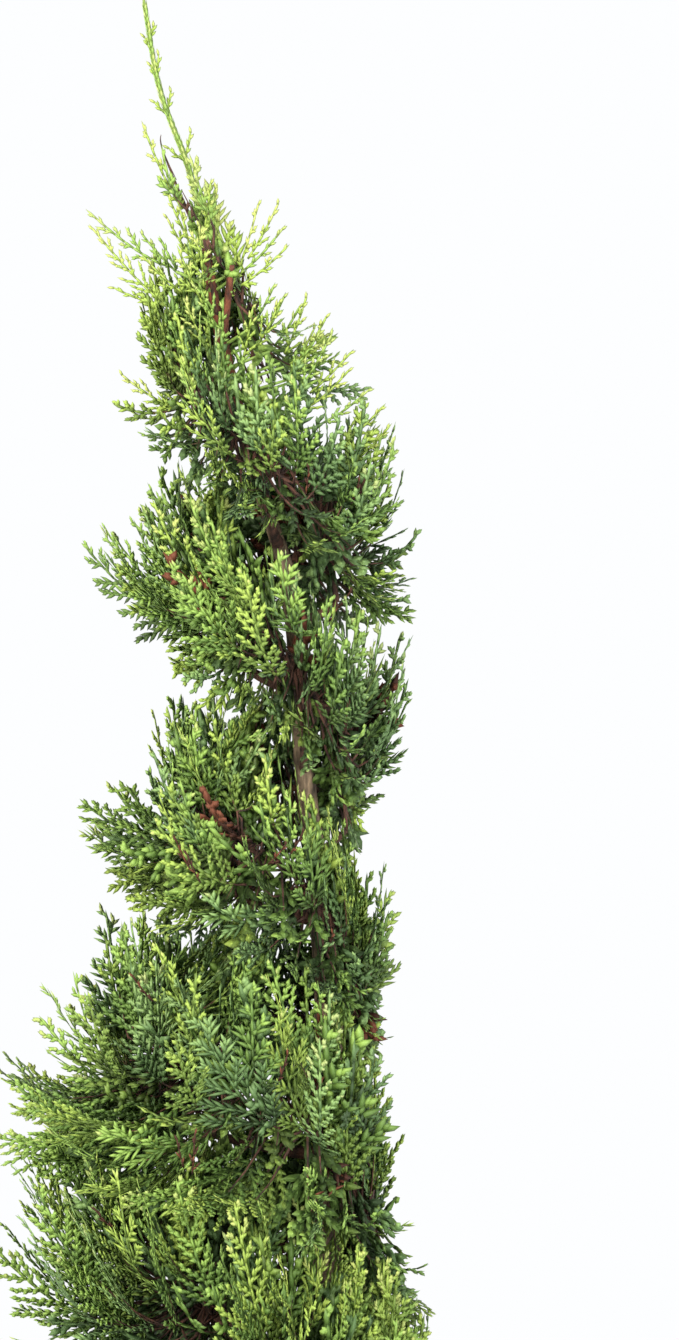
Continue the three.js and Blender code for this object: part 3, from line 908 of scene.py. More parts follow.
def scale_leaf(name, colour, roughness):
    """Scale leaves pressed flat against the shoot: waxy, so half matt with a soft gloss.
    The colour is one plain tone, since sprays take their tone by place. Scales are 1.5 mm
    long, which the bump shows as fine knots along a shoot."""
    material, tree, surface, place = new_material(name)
    knots = add_node(tree, "ShaderNodeTexNoise", {
        "Vector": place,
        "Scale": per_metre(1.5),
        "Detail": 1.0,
    })
    bump = add_node(tree, "ShaderNodeBump", {
        "Strength": 0.35,
        "Distance": 0.0004,
        "Height": knots["Fac"],
    })
    shader = add_node(tree, "ShaderNodeBsdfPrincipled", {
        "Base Color": colour,
        "Roughness": roughness,
        "IOR": 1.42,
        "Normal": bump["Normal"],
    })
    tree.links.new(shader["BSDF"], surface)
    return material


def bark_stops(colour):
    """Bark from the bottom of a furrow, near black with painted shade over the bark's own darker
    colour, to a paler weathered ridge.
    """
    # Painted shade: the lowest stop darkens the bark nearly to black where the plates' pattern
    # stands for a furrow's bottom
    tones = ((0.34, 0.14), (0.46, 0.5), (0.56, 1.0), (0.7, 1.6))
    return [(at, shade(colour, share)) for at, share in tones]


def bark(name, colour, plate_mm, roughness=0.85, young=None):
    """Cypress bark: dry fibrous plates, longer than wide, a few millimetres across on a stem
    of this age, and matt. Old bark weathers grey, and young bark, on the stem's top from 0.99
    to 1.06 m up, is still red-brown."""
    material, tree, surface, place = new_material(name)
    long_way = add_node(tree, "ShaderNodeMapping", {"Vector": place, "Scale": (1.0, 1.0, 0.24)})
    plates = add_node(tree, "ShaderNodeTexNoise", {
        "Vector": long_way["Vector"],
        "Scale": per_metre(plate_mm),
        "Detail": 5.0,
        "Roughness": 0.6,
    })
    grain = add_node(tree, "ShaderNodeTexNoise", {
        "Vector": long_way["Vector"],
        "Scale": per_metre(plate_mm / 4),
        "Detail": 4.0,
        "Roughness": 0.7,
    })
    bump = add_node(tree, "ShaderNodeBump", {
        "Strength": 0.9,
        "Distance": 0.0012,
        "Height": grain["Fac"],
    })
    old = add_node(tree, "ShaderNodeValToRGB", {"Fac": plates["Fac"]}, bark_stops(colour))
    tint = old["Color"]
    if young:
        red = add_node(tree, "ShaderNodeValToRGB", {"Fac": plates["Fac"]}, bark_stops(young))
        height = add_node(tree, "ShaderNodeSeparateXYZ", {"Vector": place})
        share = add_node(tree, "ShaderNodeMapRange", {
            "Value": height["Z"],
            "From Min": NEW_BARK_FROM * MM,
            "From Max": NEW_BARK_TO * MM,
        })
        blend = {MIX_FACTOR: share["Result"], MIX_FIRST: tint, MIX_SECOND: red["Color"]}
        tint = add_node(tree, "ShaderNodeMix", blend, data_type="RGBA")[MIX_RESULT]
    shader = add_node(tree, "ShaderNodeBsdfPrincipled", {
        "Base Color": tint,
        "Roughness": roughness,
        "Normal": bump["Normal"],
    })
    tree.links.new(shader["BSDF"], surface)
    return material


def fired_clay(clay, bloom):
    """Terracotta, unglazed and fired: a dusty orange clay that drifts between paler and
    redder, with a chalky bloom of lime low on the wall and fine pits of sand."""
    material, tree, surface, place = new_material("fired_clay_unglazed")
    drift = add_node(tree, "ShaderNodeTexNoise", {
        "Vector": place,
        "Scale": per_metre(60),
        "Detail": 4.0,
        "Roughness": 0.55,
    })
    stops = [(0.3, shade(clay, 0.75)), (0.5, shade(clay, 1.0)), (0.72, shade(clay, 1.28))]
    body = add_node(tree, "ShaderNodeValToRGB", {"Fac": drift["Fac"]}, stops)
    blotch = add_node(tree, "ShaderNodeTexNoise", {
        "Vector": place,
        "Scale": per_metre(26),
        "Detail": 6.0,
        "Roughness": 0.62,
    })
    height = add_node(tree, "ShaderNodeSeparateXYZ", {"Vector": place})
    low = add_node(tree, "ShaderNodeMapRange", {
        "Value": height["Z"],
        "From Min": 0.0,
        "From Max": 0.2,
        "To Min": 0.16,
        "To Max": -0.1,
    })
    sum_of = {0: blotch["Fac"], 1: low["Result"]}
    chalk = add_node(tree, "ShaderNodeMath", sum_of, operation="ADD")
    amount = add_node(tree, "ShaderNodeMapRange", {
        "Value": chalk["Value"],
        "From Min": 0.56,
        "From Max": 0.8,
        "To Min": 0.0,
        "To Max": 0.5,
    })
    blend = {
        MIX_FACTOR: amount["Result"],
        MIX_FIRST: body["Color"],
        MIX_SECOND: shade(bloom, 1.0),
    }
    colour = add_node(tree, "ShaderNodeMix", blend, data_type="RGBA")[MIX_RESULT]
    pits = add_node(tree, "ShaderNodeTexNoise", {
        "Vector": place,
        "Scale": per_metre(1.6),
        "Detail": 3.0,
        "Roughness": 0.6,
    })
    bump = add_node(tree, "ShaderNodeBump", {
        "Strength": 0.35,
        "Distance": 0.0005,
        "Height": pits["Fac"],
    })
    shader = add_node(tree, "ShaderNodeBsdfPrincipled", {
        "Base Color": colour,
        "Roughness": 0.88,
        "Normal": bump["Normal"],
    })
    tree.links.new(shader["BSDF"], surface)
    return material


def composted_bark(name, colour):
    """Potting mix: dark, moist, crumbled bark with lighter fibres, quite matt. Crumbs are
    about 6 mm across, and the bump has finer ones of 2.5 mm."""
    material, tree, surface, place = new_material(name)
    crumbs = add_node(tree, "ShaderNodeTexNoise", {
        "Vector": place,
        "Scale": per_metre(6),
        "Detail": 6.0,
        "Roughness": 0.7,
    })
    stops = [(0.3, shade(colour, 0.42)), (0.51, shade(colour, 1.0)), (0.75, shade(colour, 2.1))]
    tint = add_node(tree, "ShaderNodeValToRGB", {"Fac": crumbs["Fac"]}, stops)
    grit = add_node(tree, "ShaderNodeTexNoise", {
        "Vector": place,
        "Scale": per_metre(2.5),
        "Detail": 4.0,
        "Roughness": 0.7,
    })
    bump = add_node(tree, "ShaderNodeBump", {
        "Strength": 0.8,
        "Distance": 0.0015,
        "Height": grit["Fac"],
    })
    shader = add_node(tree, "ShaderNodeBsdfPrincipled", {
        "Base Color": tint["Color"],
        "Roughness": 0.92,
        "Normal": bump["Normal"],
    })
    tree.links.new(shader["BSDF"], surface)
    return material


def painted_studio(colour):
    """Matt white studio paint on the floor: even, pale and without gloss."""
    material, tree, surface, _ = new_material("matt_studio_paint")
    shader = add_node(tree, "ShaderNodeBsdfPrincipled", {
        "Base Color": shade(colour, 1.0),
        "Roughness": 0.9,
    })
    tree.links.new(shader["BSDF"], surface)
    return material


# What a user would change


def colour_property(name, description, text):
    """A colour property whose default is an sRGB hex value."""
    return FloatVectorProperty(
        name=name,
        description=description,
        default=srgb(text)[:3],
        subtype="COLOR",
        size=3,
        min=0,
        max=1,
    )


class PlantColours(bpy.types.PropertyGroup):
    """Colours of the leaves, the wood and the pot."""

    warm_green: colour_property("Warm Green", "Half-lit scale leaves, yellower sprays", "#90a84b")
    fresh_green: colour_property("Fresh Green", "Half-lit scale leaves, most sprays", "#81a04b")
    cool_green: colour_property("Cool Green", "Half-lit scale leaves, bluer sprays", "#789659")
    new_growth: colour_property("New Growth", "Pale tone that the shoots' tips run to", "#cdc987")
    dry_brown: colour_property("Dry Brown", "Sprays that have died back", "#633622")
    old_bark: colour_property("Old Bark", "Weathered bark of the trunk", "#7f6c56")
    young_bark: colour_property("Young Bark", "Bark of the boughs and twigs", "#5a3a2c")
    new_bark: colour_property("New Bark", "Bark of the stem's top and the cut stub", "#74402a")
    clay: colour_property("Clay", "Fired clay of the pot", "#a0644a")
    lime_bloom: colour_property("Lime Bloom", "Chalky patches on the pot", "#c4b09c")
    potting_mix: colour_property("Potting Mix", "Moist mix in the pot", "#34261c")
    bark_chips: colour_property("Bark Chips", "Dry chips on the mix", "#6d4f37")
    studio_paint: colour_property("Studio Paint", "Floor of the studio", "#f2f2f2")


class PlantSizes(bpy.types.PropertyGroup):
    """Sizes of the foliage and wood."""

    shoot_width: FloatProperty(
        name="Shoot Width",
        description="Width of a last shoot with its scale leaves",
        default=0.0022,
        unit="LENGTH",
    )
    branchlet_spacing: FloatProperty(
        name="Branchlet Spacing",
        description="Distance between side branchlets along a spray",
        default=0.0047,
        unit="LENGTH",
    )
    shoot_spacing: FloatProperty(
        name="Shoot Spacing",
        description="Distance between last shoots along a side branchlet",
        default=0.003,
        unit="LENGTH",
    )
    sprays: FloatProperty(
        name="Sprays",
        description="Outer sprays for each spray of the solids",
        default=2.8,
        min=1,
    )
    shaded_sprays: FloatProperty(
        name="Shaded Sprays",
        description="Short sprays inside the crown for each spray of the solids",
        default=4.2,
        min=0,
    )
    bark_relief: FloatProperty(
        name="Bark Relief",
        description="Depth of the furrows, as a share of the stem's radius",
        default=0.24,
        min=0,
        subtype="FACTOR",
    )
    chips: IntProperty(
        name="Bark Chips",
        description="Loose chips on the potting mix",
        default=520,
        min=0,
    )


class StudioSettings(bpy.types.PropertyGroup):
    """Camera and light."""

    distance: FloatProperty(
        name="Camera Distance",
        description="From the camera to the trunk",
        default=2.3,
        unit="LENGTH",
    )
    key_power: FloatProperty(
        name="Key Light",
        description="Power of the large soft light at the upper left",
        default=106.0,
        min=0,
        unit="POWER",
    )
    fill_power: FloatProperty(
        name="Fill Light",
        description="Power of the weaker and larger light in front at the right",
        default=38.0,
        min=0,
        unit="POWER",
    )
    room: FloatProperty(
        name="Room Light",
        description="Strength of the white surroundings",
        default=1.0,
        min=0,
    )


# Growing the sprays


def spray_indices(m, density, full_turn, least):
    """The numbers, from 0, of the sprays of mass m: density is how many stand for each spray
    of the solids. Sprays are fewer at the thin top, by a share that grows with the turn from
    least to 1 near full_turn."""
    first, last = mass_span(m)
    middle = (first + last) / 2
    reach = section_at(middle)[0]
    coarse = np.clip(np.round(reach / SPRAY_SPACING), FEWEST_SPRAYS, MOST_SPRAYS)
    full = np.clip((middle - FIRST_SPRAY_TURN) / full_turn, least, 1)
    return np.arange(int(round(coarse * density * full)))


def outer_courses(density):
    """The sprays that reach the clipped outline. They spread over the outer side of each
    mass's core, one golden-ratio step apart along the turn. The shoots that grow out past
    the outline follow the others of their mass."""
    rows = []
    for m in range(1, SECTOR_COUNT):
        first, last = mass_span(m)
        i = spray_indices(m, density, OUTER_FULL_TURN, OUTER_LEAST)
        item = m * ITEMS_PER_MASS + i
        turn = first + (last - first) * np.mod(0.5 + i * GOLDEN + 0.2 * chance(item, 1), 1)
        around = (i + between(0.15, 0.85, item, 2)) / len(i)
        angle = np.radians(LOWEST_ANGLE + (HIGHEST_ANGLE - LOWEST_ANGLE) * around)
        half_width = section_at((first + last) / 2)[1][1]
        past = half_width * between(-UNEVEN / 2, UNEVEN / 2, item, 6)
        inside = (SHOOTS[:, 0] >= max(first, 0)) & (SHOOTS[:, 0] <= last)
        own_turn, own_angle, own_past = SHOOTS[inside].T
        own_item = FIRST_SHOOT_ITEM + np.round(1000 * own_turn + own_angle)
        item = np.concatenate([item, own_item])
        turn = np.concatenate([turn, own_turn])
        angle = np.concatenate([angle, np.radians(own_angle - UPWARD_TURN)])
        past = np.concatenate([past, own_past])
        ends = first - MASS_OVERLAP, last + MASS_OVERLAP
        course = spray_courses(item, turn, angle, past, *ends)
        rows.append((np.full(len(item), m), item, turn, angle, *course))
    return Courses(*(np.concatenate(column) for column in zip(*rows)))


def shaded_courses(density):
    """Short sprays inside the crown, all round the section and not only on its outer side.
    They root nearer the middle of the core and end a good way inside the outline."""
    rows = []
    for m in range(1, SECTOR_COUNT):
        first, last = mass_span(m)
        i = spray_indices(m, density, SHADED_FULL_TURN, 0)
        item = FIRST_SHADED_ITEM + m * ITEMS_PER_MASS + i
        turn = first + (last - first) * np.mod(0.3 + i * GOLDEN, 1)
        angle = np.radians(SHADED_LOWEST + SHADED_SPAN * (i + chance(item, 2)) / len(i))
        share = between(0.5, 0.92, item, 8)
        course = spray_courses(item, turn, angle, 0.0, first, last, share, 1.0)
        rows.append((np.full(len(i), m), item, turn, angle, *course))
    return Courses(*(np.concatenate(column) for column in zip(*rows)))


def in_gap(tip):
    """True for sprays that would end in a gap in front, where the foliage stays open."""
    front = tip[:, 1] < GAP_FRONT
    hidden = np.full(len(tip), False)
    for across, up, half_width, half_height in GAPS:
        beside = np.abs(tip[:, 0] - across) < half_width
        hidden |= front & beside & (np.abs(tip[:, 2] - up) < half_height)
    return hidden


def spray_frame(sprays):
    """The length of each spray, and the way across its face."""
    ahead = sprays.tip - sprays.root
    return np.linalg.norm(ahead, axis=-1), unit(np.cross(sprays.facing, ahead))


def axis_points(sprays, s):
    """Points at shares s along each spray's axis: a line that sags by a share of its length,
    so that its end turns up, and bows a little to one side of its face."""
    length, _ = spray_frame(sprays)
    bow = (between(-BOW, BOW, sprays.item, 11) * length)[:, None]
    line = sprays.root[:, None] + (sprays.tip - sprays.root)[:, None] * s[..., None]
    wave = np.sin(np.pi * s)
    bowed = line + sprays.facing[:, None] * (wave * bow)[..., None]
    return bowed - UP * (wave * (sprays.sag * length)[:, None])[..., None]


def pick(values, live):
    """The values where live is true, after they are repeated over its whole grid."""
    return np.broadcast_to(values, live.shape + values.shape[live.ndim:])[live]


def lankness(item):
    """How lank a spray is, from 0 to 1. Lank ones have fewer branchlets and longer shoots."""
    return chance(item, 13) ** 2


def stem_links(sprays, half, coarse):
    """Links along each spray's stem, each a little longer than its share of the stem, so
    that they overlap. Returns their starts, reaches, half widths, sprays, how near the
    outside each is, and faces."""
    length, across = spray_frame(sprays)
    stem = 1 - STEM_START
    links = np.maximum(np.round(length * stem / (STEM_LINK * coarse**0.5)), 2)[:, None]
    i = np.arange(int(links.max()))
    live = i < links
    low = STEM_START + stem * i / links
    start = axis_points(sprays, low - LINK_OVERLAP / links)
    reach = axis_points(sprays, np.minimum(low + 0.85 / links, 1)) - start
    owner = pick(np.arange(len(length))[:, None], live)
    face = np.cross(unit(reach), across[:, None])[live]
    low = low[live]
    return start[live], reach[live], half * (0.95 - 0.15 * low), owner, low * 0.6, face


def side_branchlets(sprays, width, spacing, fine):
    """Branchlets in two ranks along each spray. They are longest a quarter of the way out,
    shorten to the tip and bend forward to the spray's own direction."""
    length, across = spray_frame(sprays)
    apart = spacing * (0.92 + 0.4 * lankness(sprays.item))
    count = np.round(length * (1 - BRANCHLET_START) / apart)
    count = np.maximum(count, FEWEST_BRANCHLETS)[:, None]
    j = np.arange(int(count.max()))
    live = j < count
    mark = sprays.item[:, None] + j * 0.37
    s = BRANCHLET_START + BRANCHLET_SPAN * (j + between(0.25, 0.75, mark, 21)) / count
    place = axis_points(sprays, s)
    on = unit(axis_points(sprays, s + 0.02) - place)
    face = unit(np.cross(on, across[:, None]))
    rank = np.where(j % 2, 1.0, -1.0)
    shape = np.minimum(1, 0.5 + 2 * s) * np.maximum(1.04 - s, 0.02) ** 0.62
    longest = LONGEST_BRANCHLET * (width * length)[:, None]
    reach = np.maximum(longest * shape * between(0.6, 1.3, mark, 22), SHORTEST_BRANCHLET)
    closing = BRANCHLET_CLOSING * s + FINE_CLOSING * fine
    spread = np.radians(BRANCHLET_ANGLE - closing + between(-6, 6, mark, 23))[..., None]
    tilt = (0.46 * (chance(mark, 24) - 0.42))[..., None]
    outward = across[:, None] * rank[:, None] * np.sin(spread)
    way = unit(on * np.cos(spread) + outward + face * tilt)
    bend = (on - way) * FORWARD_BEND
    owner = np.arange(len(length))[:, None]
    columns = (place, way, bend, face, reach, s, mark, rank, owner)
    return Branchlets(*(pick(column, live) for column in columns))


def branchlet_point(b, u):
    """The point at share u along each branchlet, which bends forward by the square of u."""
    far = (u * b.length[:, None])[..., None]
    return b.place[:, None] + b.way[:, None] * far + b.bend[:, None] * far * u[..., None] / 2


def branchlet_links(b, half, coarse):
    """Links along each branchlet, as those along a stem."""
    links = np.ceil(b.length / (BRANCHLET_LINK * coarse**0.5))[:, None]
    i = np.arange(int(links.max()))
    live = i < links
    low = i / links
    start = branchlet_point(b, np.maximum(low - LINK_OVERLAP / links, 0))
    reach = branchlet_point(b, np.minimum(low + 1.05 / links, 1)) - start
    wide = half * (0.95 - 0.1 * low[live])
    outer = (b.share[:, None] * 0.75 + 0.25 * low)[live]
    owner = pick(b.owner[:, None], live)
    return start[live], reach[live], wide, owner, outer, pick(b.face[:, None], live)


def last_shoots(b, item, half, spacing, coarse, fine):
    """Shoots in two ranks along each branchlet that shorten along it. The shortest branchlets
    have none. Returns what stem_links returns."""
    amount = np.round(b.length / spacing) * (b.length > BARE_BRANCHLET)
    amount = amount[:, None]
    k = np.arange(int(amount.max()))
    live = k < amount
    u = (k + 0.6) / (amount + 1.0)
    mark = b.mark[:, None] + k * 0.73
    turn = np.radians(SHOOT_ANGLE - SHOOT_CLOSING * u + between(-5, 5, mark, 31))[..., None]
    side = np.where((k + (b.rank[:, None] > 0)) % 2, 1.0, -1.0)[..., None]
    heading = unit(b.way[:, None] + b.bend[:, None] * u[..., None])
    aside = unit(np.cross(b.face, b.way))[:, None]
    lift = (0.24 * (chance(mark, 32) - 0.42))[..., None]
    level = heading * np.cos(turn) + aside * side * np.sin(turn)
    way = unit(level + b.face[:, None] * lift)
    lank = lankness(item)[b.owner][:, None]
    reach = (0.1 + 0.42 * lank) * b.length[:, None] * (1 - u) + 2.3 + 1.5 * lank
    reach = np.clip(reach, SHOOT_LEAST, SHOOT_MOST) * coarse**0.5
    reach = reach * between(0.8, 1.2, mark, 33) * (1 - 0.45 * fine)
    wide = half * between(0.8, 1.04, mark, 34)
    outer = b.share[:, None] * 0.75 + 0.3 * u
    start = branchlet_point(b, u)[live]
    owner = pick(b.owner[:, None], live)
    face = pick(b.face[:, None], live)
    return start, (way * reach[..., None])[live], wide[live], owner, outer[live], face


def grow_sprays(sprays, width, sizes, coarse=1.0, fine=0.0):
    """Grows each spray: links along its stem, side branchlets and last shoots. coarse makes
    shoots wider and spreads them further apart, and fine makes them narrower and shorter."""
    half = 0.5 * sizes.shoot_width / MM * coarse**0.9 * (1 - 0.3 * fine)
    branchlet_spacing = sizes.branchlet_spacing / MM * coarse
    shoot_spacing = sizes.shoot_spacing / MM * coarse
    branchlets = side_branchlets(sprays, width, branchlet_spacing, fine)
    parts = (
        stem_links(sprays, half, coarse),
        branchlet_links(branchlets, half, coarse),
        last_shoots(branchlets, sprays.item, half, shoot_spacing, coarse, fine),
    )
    start, reach, wide, owner, outer, face = (np.concatenate(column) for column in zip(*parts))
    mark = np.arange(len(start))[:, None]
    face = unit(face + between(-FACE_UNEVEN, FACE_UNEVEN, mark, [[71, 72, 73]]))
    length = np.linalg.norm(reach, axis=-1)
    return Shoots(start, unit(reach), length, wide, face, owner, np.clip(outer, 0, 1))


def join_shoots(shoots, keep, kinds):
    """The shoots that keep picks as one mesh of blades. Returns vertices, triangles and each
    triangle's material."""
    vertices, faces = blades(*(column[keep] for column in shoots[:5]))
    return vertices, faces, np.repeat(kinds[keep], len(BLADE_FACES))


def toward_viewer(root, tip, item, turn, up):
    """Faces square to each spray that look at the viewer and up, turned to a side by up to
    half of turn."""
    n = len(root)
    toward = np.stack([turn * (chance(item, 64) - 0.5), np.full(n, -1.0), np.full(n, up)], axis=-1)
    ahead = unit(tip - root)
    return unit(toward - ahead * (toward * ahead).sum(-1, keepdims=True))


def deal_tones(family, depth, shoots):
    """The material of each shoot: its spray's family of greens, and a tone that starts at the
    spray's own depth and gets lighter towards the outside. This is partly the paler new growth at
    the tips and partly painted shade on the shoots further in. Dry sprays have two tones."""
    number = np.arange(len(shoots.owner))
    tone = depth[shoots.owner] + LIGHTER_OUTSIDE * shoots.outer**1.4
    tone = np.round(tone + 0.35 * (chance(number, 43) - 0.5))
    kinds = np.clip(tone, 0, len(TONES) - 1) + len(TONES) * family[shoots.owner]
    return np.minimum(kinds, LAST_TONE)


def leaf_tones(green, pale):
    """Five tones of a green: two darker and bluer ones, which are painted shade, the green itself,
    and two that run to a pale one."""
    red, rest = green[0], green[1:3]
    darker = [shade((red * less, *rest), s) for less, s in ((0.86, 0.25), (0.9, 0.56))]
    toward = [tuple(a + (b - a) * s for a, b in zip(green, pale)) for s in (0.3, 0.53)]
    return darker + [shade(c, 1.0) for c in (green, *toward)]


def foliage_materials():
    """Five tones of scale leaf, from painted deep shade to new growth, in a warm, a fresh and a
    cool green, and then the two browns of dry ones."""
    colours = bpy.context.scene.plant_colours
    wanted = []
    for family in FAMILIES:
        tones = leaf_tones(getattr(colours, f"{family}_green"), colours.new_growth)
        for name, tone in zip(TONES, tones):
            wanted.append((f"scale_leaf_{family}_{name}", tone, LEAF_ROUGHNESS))
    for name, share in DRY_TONES:
        brown = shade(colours.dry_brown, share)
        wanted.append((f"dry_scale_leaf_{name}", brown, DRY_ROUGHNESS))
    return [bpy.data.materials.get(row[0]) or scale_leaf(*row) for row in wanted]


def leaf_material(family, tone):
    """The scale leaf of one family and tone."""
    return foliage_materials()[FAMILIES.index(family) * len(TONES) + TONES.index(tone)]


def families(courses, warm, fresh):
    """The family of greens of each spray: 0 warm, 1 fresh or 2 cool. Neighbours in turn and
    angle are often alike. warm and fresh are the shares of the first two."""
    patch = smooth_noise(9 * courses.turn + 40, 1.5 * courses.angle + 20, 61)
    place = 0.6 * chance(courses.item, 41) + 0.4 * patch
    return (place > 0.2 + 0.6 * warm).astype(int) + (place > 0.2 + 0.6 * (warm + fresh))


def wood_materials():
    """Red-brown young bark of the boughs and twigs."""
    name = "young_cypress_bark"
    young = bpy.context.scene.plant_colours.young_bark
    return [bpy.data.materials.get(name) or bark(name, young, 3.0, 0.75)]


# Operators


def pot_outside(z):
    """The radius of the pot's outer wall at height z, without its band."""
    return POT_BASE_RADIUS + (POT_TOP_RADIUS - POT_BASE_RADIUS) * z / POT_HEIGHT


def round_edge(r, z, first_angle):
    """A quarter circle of the pot's profile about (r, z), from an angle in degrees."""
    a = np.radians(first_angle) + np.linspace(0, np.pi / 2, 6)
    return np.stack([r + EDGE_ROUND * np.cos(a), z + EDGE_ROUND * np.sin(a)], axis=1)


def pot_profile():
    """Radius and height along the pot's profile: out along the underside, up the wall and
    over the band's rim, and down inside to the middle of the floor. The wall has faint
    throwing rings 4 mm apart, and the band has rings 5 mm apart."""
    band = POT_HEIGHT - BAND_HEIGHT
    top = POT_HEIGHT - EDGE_ROUND
    wall = np.linspace(EDGE_ROUND, band - BAND_PROUD - 1, 46)
    face = np.linspace(band + 2, top, 14)
    lining = np.linspace(top, POT_FLOOR, 12)
    wall_rings = THROWING_DEPTH * np.sin(TURN * wall / THROWING_STEP)
    band_rings = BAND_RING_DEPTH * np.sin(TURN * face / BAND_RING_STEP)
    return np.concatenate([
        [(POLE_RADIUS, 0.0), (30, 0.0), (60, 0.0)],
        round_edge(POT_BASE_RADIUS - EDGE_ROUND, EDGE_ROUND, 270),
        np.stack([pot_outside(wall) + wall_rings, wall], axis=1),
        [
            (pot_outside(band) + 0.4, band - BAND_PROUD),
            (pot_outside(band) + BAND_PROUD - 1, band - 0.8),
            (pot_outside(band) + BAND_PROUD - 0.2, band + 0.6),
        ],
        np.stack([pot_outside(face) + BAND_PROUD + band_rings, face], axis=1),
        round_edge(POT_TOP_RADIUS + BAND_PROUD - EDGE_ROUND, top, 0),
        round_edge(POT_TOP_RADIUS - POT_WALL + EDGE_ROUND, top, 90),
        np.stack([pot_outside(lining) - POT_WALL, lining], axis=1),
        [(60, POT_FLOOR), (30, POT_FLOOR), (POLE_RADIUS, POT_FLOOR)],
    ])


class TOPIARY_OT_pot(bpy.types.Operator):
    """Turn the clay pot"""

    bl_idname = "topiary.pot"
    bl_label = "Clay Pot"

    def execute(self, context):
        """The profile is carried round the axis, and drain holes are cut through the floor."""
        colours = context.scene.plant_colours
        profile = pot_profile()
        points = round_points(profile[:, 0, None], ring_directions(POT_SIDES), profile[:, 1, None])
        piece = make_piece(
            "pot_clay",
            points.reshape(-1, 3),
            grid_faces(len(profile), POT_SIDES),
            [fired_clay(colours.clay, colours.lime_bloom)],
            replaced=["pot"],
        )
        close_poles(piece)
        for k in range(DRAIN_COUNT):
            cut_drain(piece, TURN * k / DRAIN_COUNT)
        return {"FINISHED"}


def close_poles(piece):
    """Merges the tiny rings on the axis into one point each."""
    work = bmesh.new()
    work.from_mesh(piece.data)
    bmesh.ops.remove_doubles(work, verts=work.verts, dist=0.00005)
    work.to_mesh(piece.data)
    work.free()


def cut_drain(piece, a):
    """Cuts one round drain hole through the pot's floor at direction a."""
    centre = np.array([DRAIN_CIRCLE * np.cos(a), DRAIN_CIRCLE * np.sin(a), 0.0])
    path = centre + np.array([[0, 0, -5.0], [0, 0, POT_FLOOR + 5.0]])
    vertices, faces = tubes(path[None], np.full((1, 2), DRAIN_RADIUS), 32)
    mesh = bpy.data.meshes.new("drain_cutter")
    mesh.from_pydata((vertices * MM).tolist(), [], faces.tolist())
    cutter = bpy.data.objects.new("drain_cutter", mesh)
    bpy.context.scene.collection.objects.link(cutter)
    cut = piece.modifiers.new("drain", "BOOLEAN")
    cut.operation = "DIFFERENCE"
    cut.solver = "EXACT"
    cut.object = cutter
    evaluated = piece.evaluated_get(bpy.context.evaluated_depsgraph_get())
    shaped = bpy.data.meshes.new_from_object(evaluated)
    piece.modifiers.clear()
    piece.data = shaped
    bpy.data.objects.remove(cutter)


MIX_EDGE = pot_outside(MIX_TOP) - POT_WALL - MIX_GAP


def mix_height(r):
    """The height of the mix at distance r from the axis: level round the trunk, and from
    there down to the pot's wall by its mound."""
    down = np.clip((r - MIX_FLAT_RADIUS) / (MIX_EDGE - MIX_FLAT_RADIUS), 0, 1)
    return MIX_TOP + MIX_MOUND * (1 - down)


class TOPIARY_OT_mix(bpy.types.Operator):
    """Fill the pot with potting mix"""

    bl_idname = "topiary.mix"
    bl_label = "Potting Mix"

    def execute(self, context):
        """A disc that swells towards the trunk and is roughened by lumps and crumbs, with a
        closed underside, and loose bark chips scattered over it."""
        sizes, colours = context.scene.plant_sizes, context.scene.plant_colours
        a = ring_directions(MIX_SIDES)
        r = np.linspace(MIX_POLE_RADIUS, MIX_EDGE, MIX_ROWS)[:, None]
        x, y = r * np.cos(a), r * np.sin(a)
        lumps = smooth_noise(x / MIX_LUMP + 50, y / MIX_LUMP + 50, 3)
        crumbs = smooth_noise(x / MIX_CRUMB + 90, y / MIX_CRUMB + 90, 5)
        z = mix_height(r) - MIX_SINK + MIX_ROUGHNESS * (lumps + 0.6 * crumbs - 0.8)
        top = round_points(r, a, z)[::-1]
        under_r = np.array([MIX_POLE_RADIUS, MIX_EDGE - 2, MIX_EDGE])[:, None]
        under_z = MIX_TOP - np.array([10, 10, 8])[:, None]
        under = round_points(under_r, a, under_z)
        piece = make_piece(
            "potting_mix_surface",
            np.concatenate([under, top]).reshape(-1, 3),
            grid_faces(len(under) + MIX_ROWS, MIX_SIDES),
            [composted_bark("moist_composted_bark", colours.potting_mix)],
            replaced=["potting_mix"],
        )
        close_poles(piece)
        self.scatter_chips(sizes.chips, colours.bark_chips)
        return {"FINISHED"}

    def scatter_chips(self, count, colour):
        """Chips from clear of the trunk to near the pot's wall, evenly thick on the ground:
        their distance goes by the square root of an even chance."""
        i = np.arange(count)
        far = CHIP_CLEAR + (MIX_EDGE - CHIP_CLEAR - CHIP_EDGE) * np.sqrt(chance(i, 51))
        a = TURN * chance(i, 52)
        middle = round_points(far, a, mix_height(far) - CHIP_SINK)
        way = unit(np.stack([np.cos(9 * a), np.sin(9 * a), between(-0.25, 0.25, i, 53)], axis=-1))
        face = [chance(i, 54) - 0.5, chance(i, 55) - 0.5, np.ones(count)]
        face = unit(np.stack(face, axis=-1))
        length = between(CHIP_LEAST, CHIP_MOST, i, 56)
        start = middle - way * (length / 2)[:, None]
        chips, faces = spindles(start, way, length, length * between(0.16, 0.32, i, 57), face)
        pale = composted_bark("dry_bark_chips", colour)
        make_piece("bark_chips", chips, faces, [pale], smooth=False)


def furrows(a, z, seed):
    """Bark relief from -1 to 1 at direction a and height z: long ridges that wander, split
    by furrows, with finer flakes over them. Each layer is noise that closes round the stem."""
    drift = BARK_DRIFT * smooth_noise(z / 46 + 7, a * 0.6 + 3, seed)
    relief = 0.0
    for k, (count, height, share, follow) in enumerate(BARK_LAYERS):
        around = (a / TURN * count + drift * follow) % count
        relief = relief + share * smooth_noise(around, z / height, seed + 2 * k + 2, wrap=count)
    return 2 * relief - 1


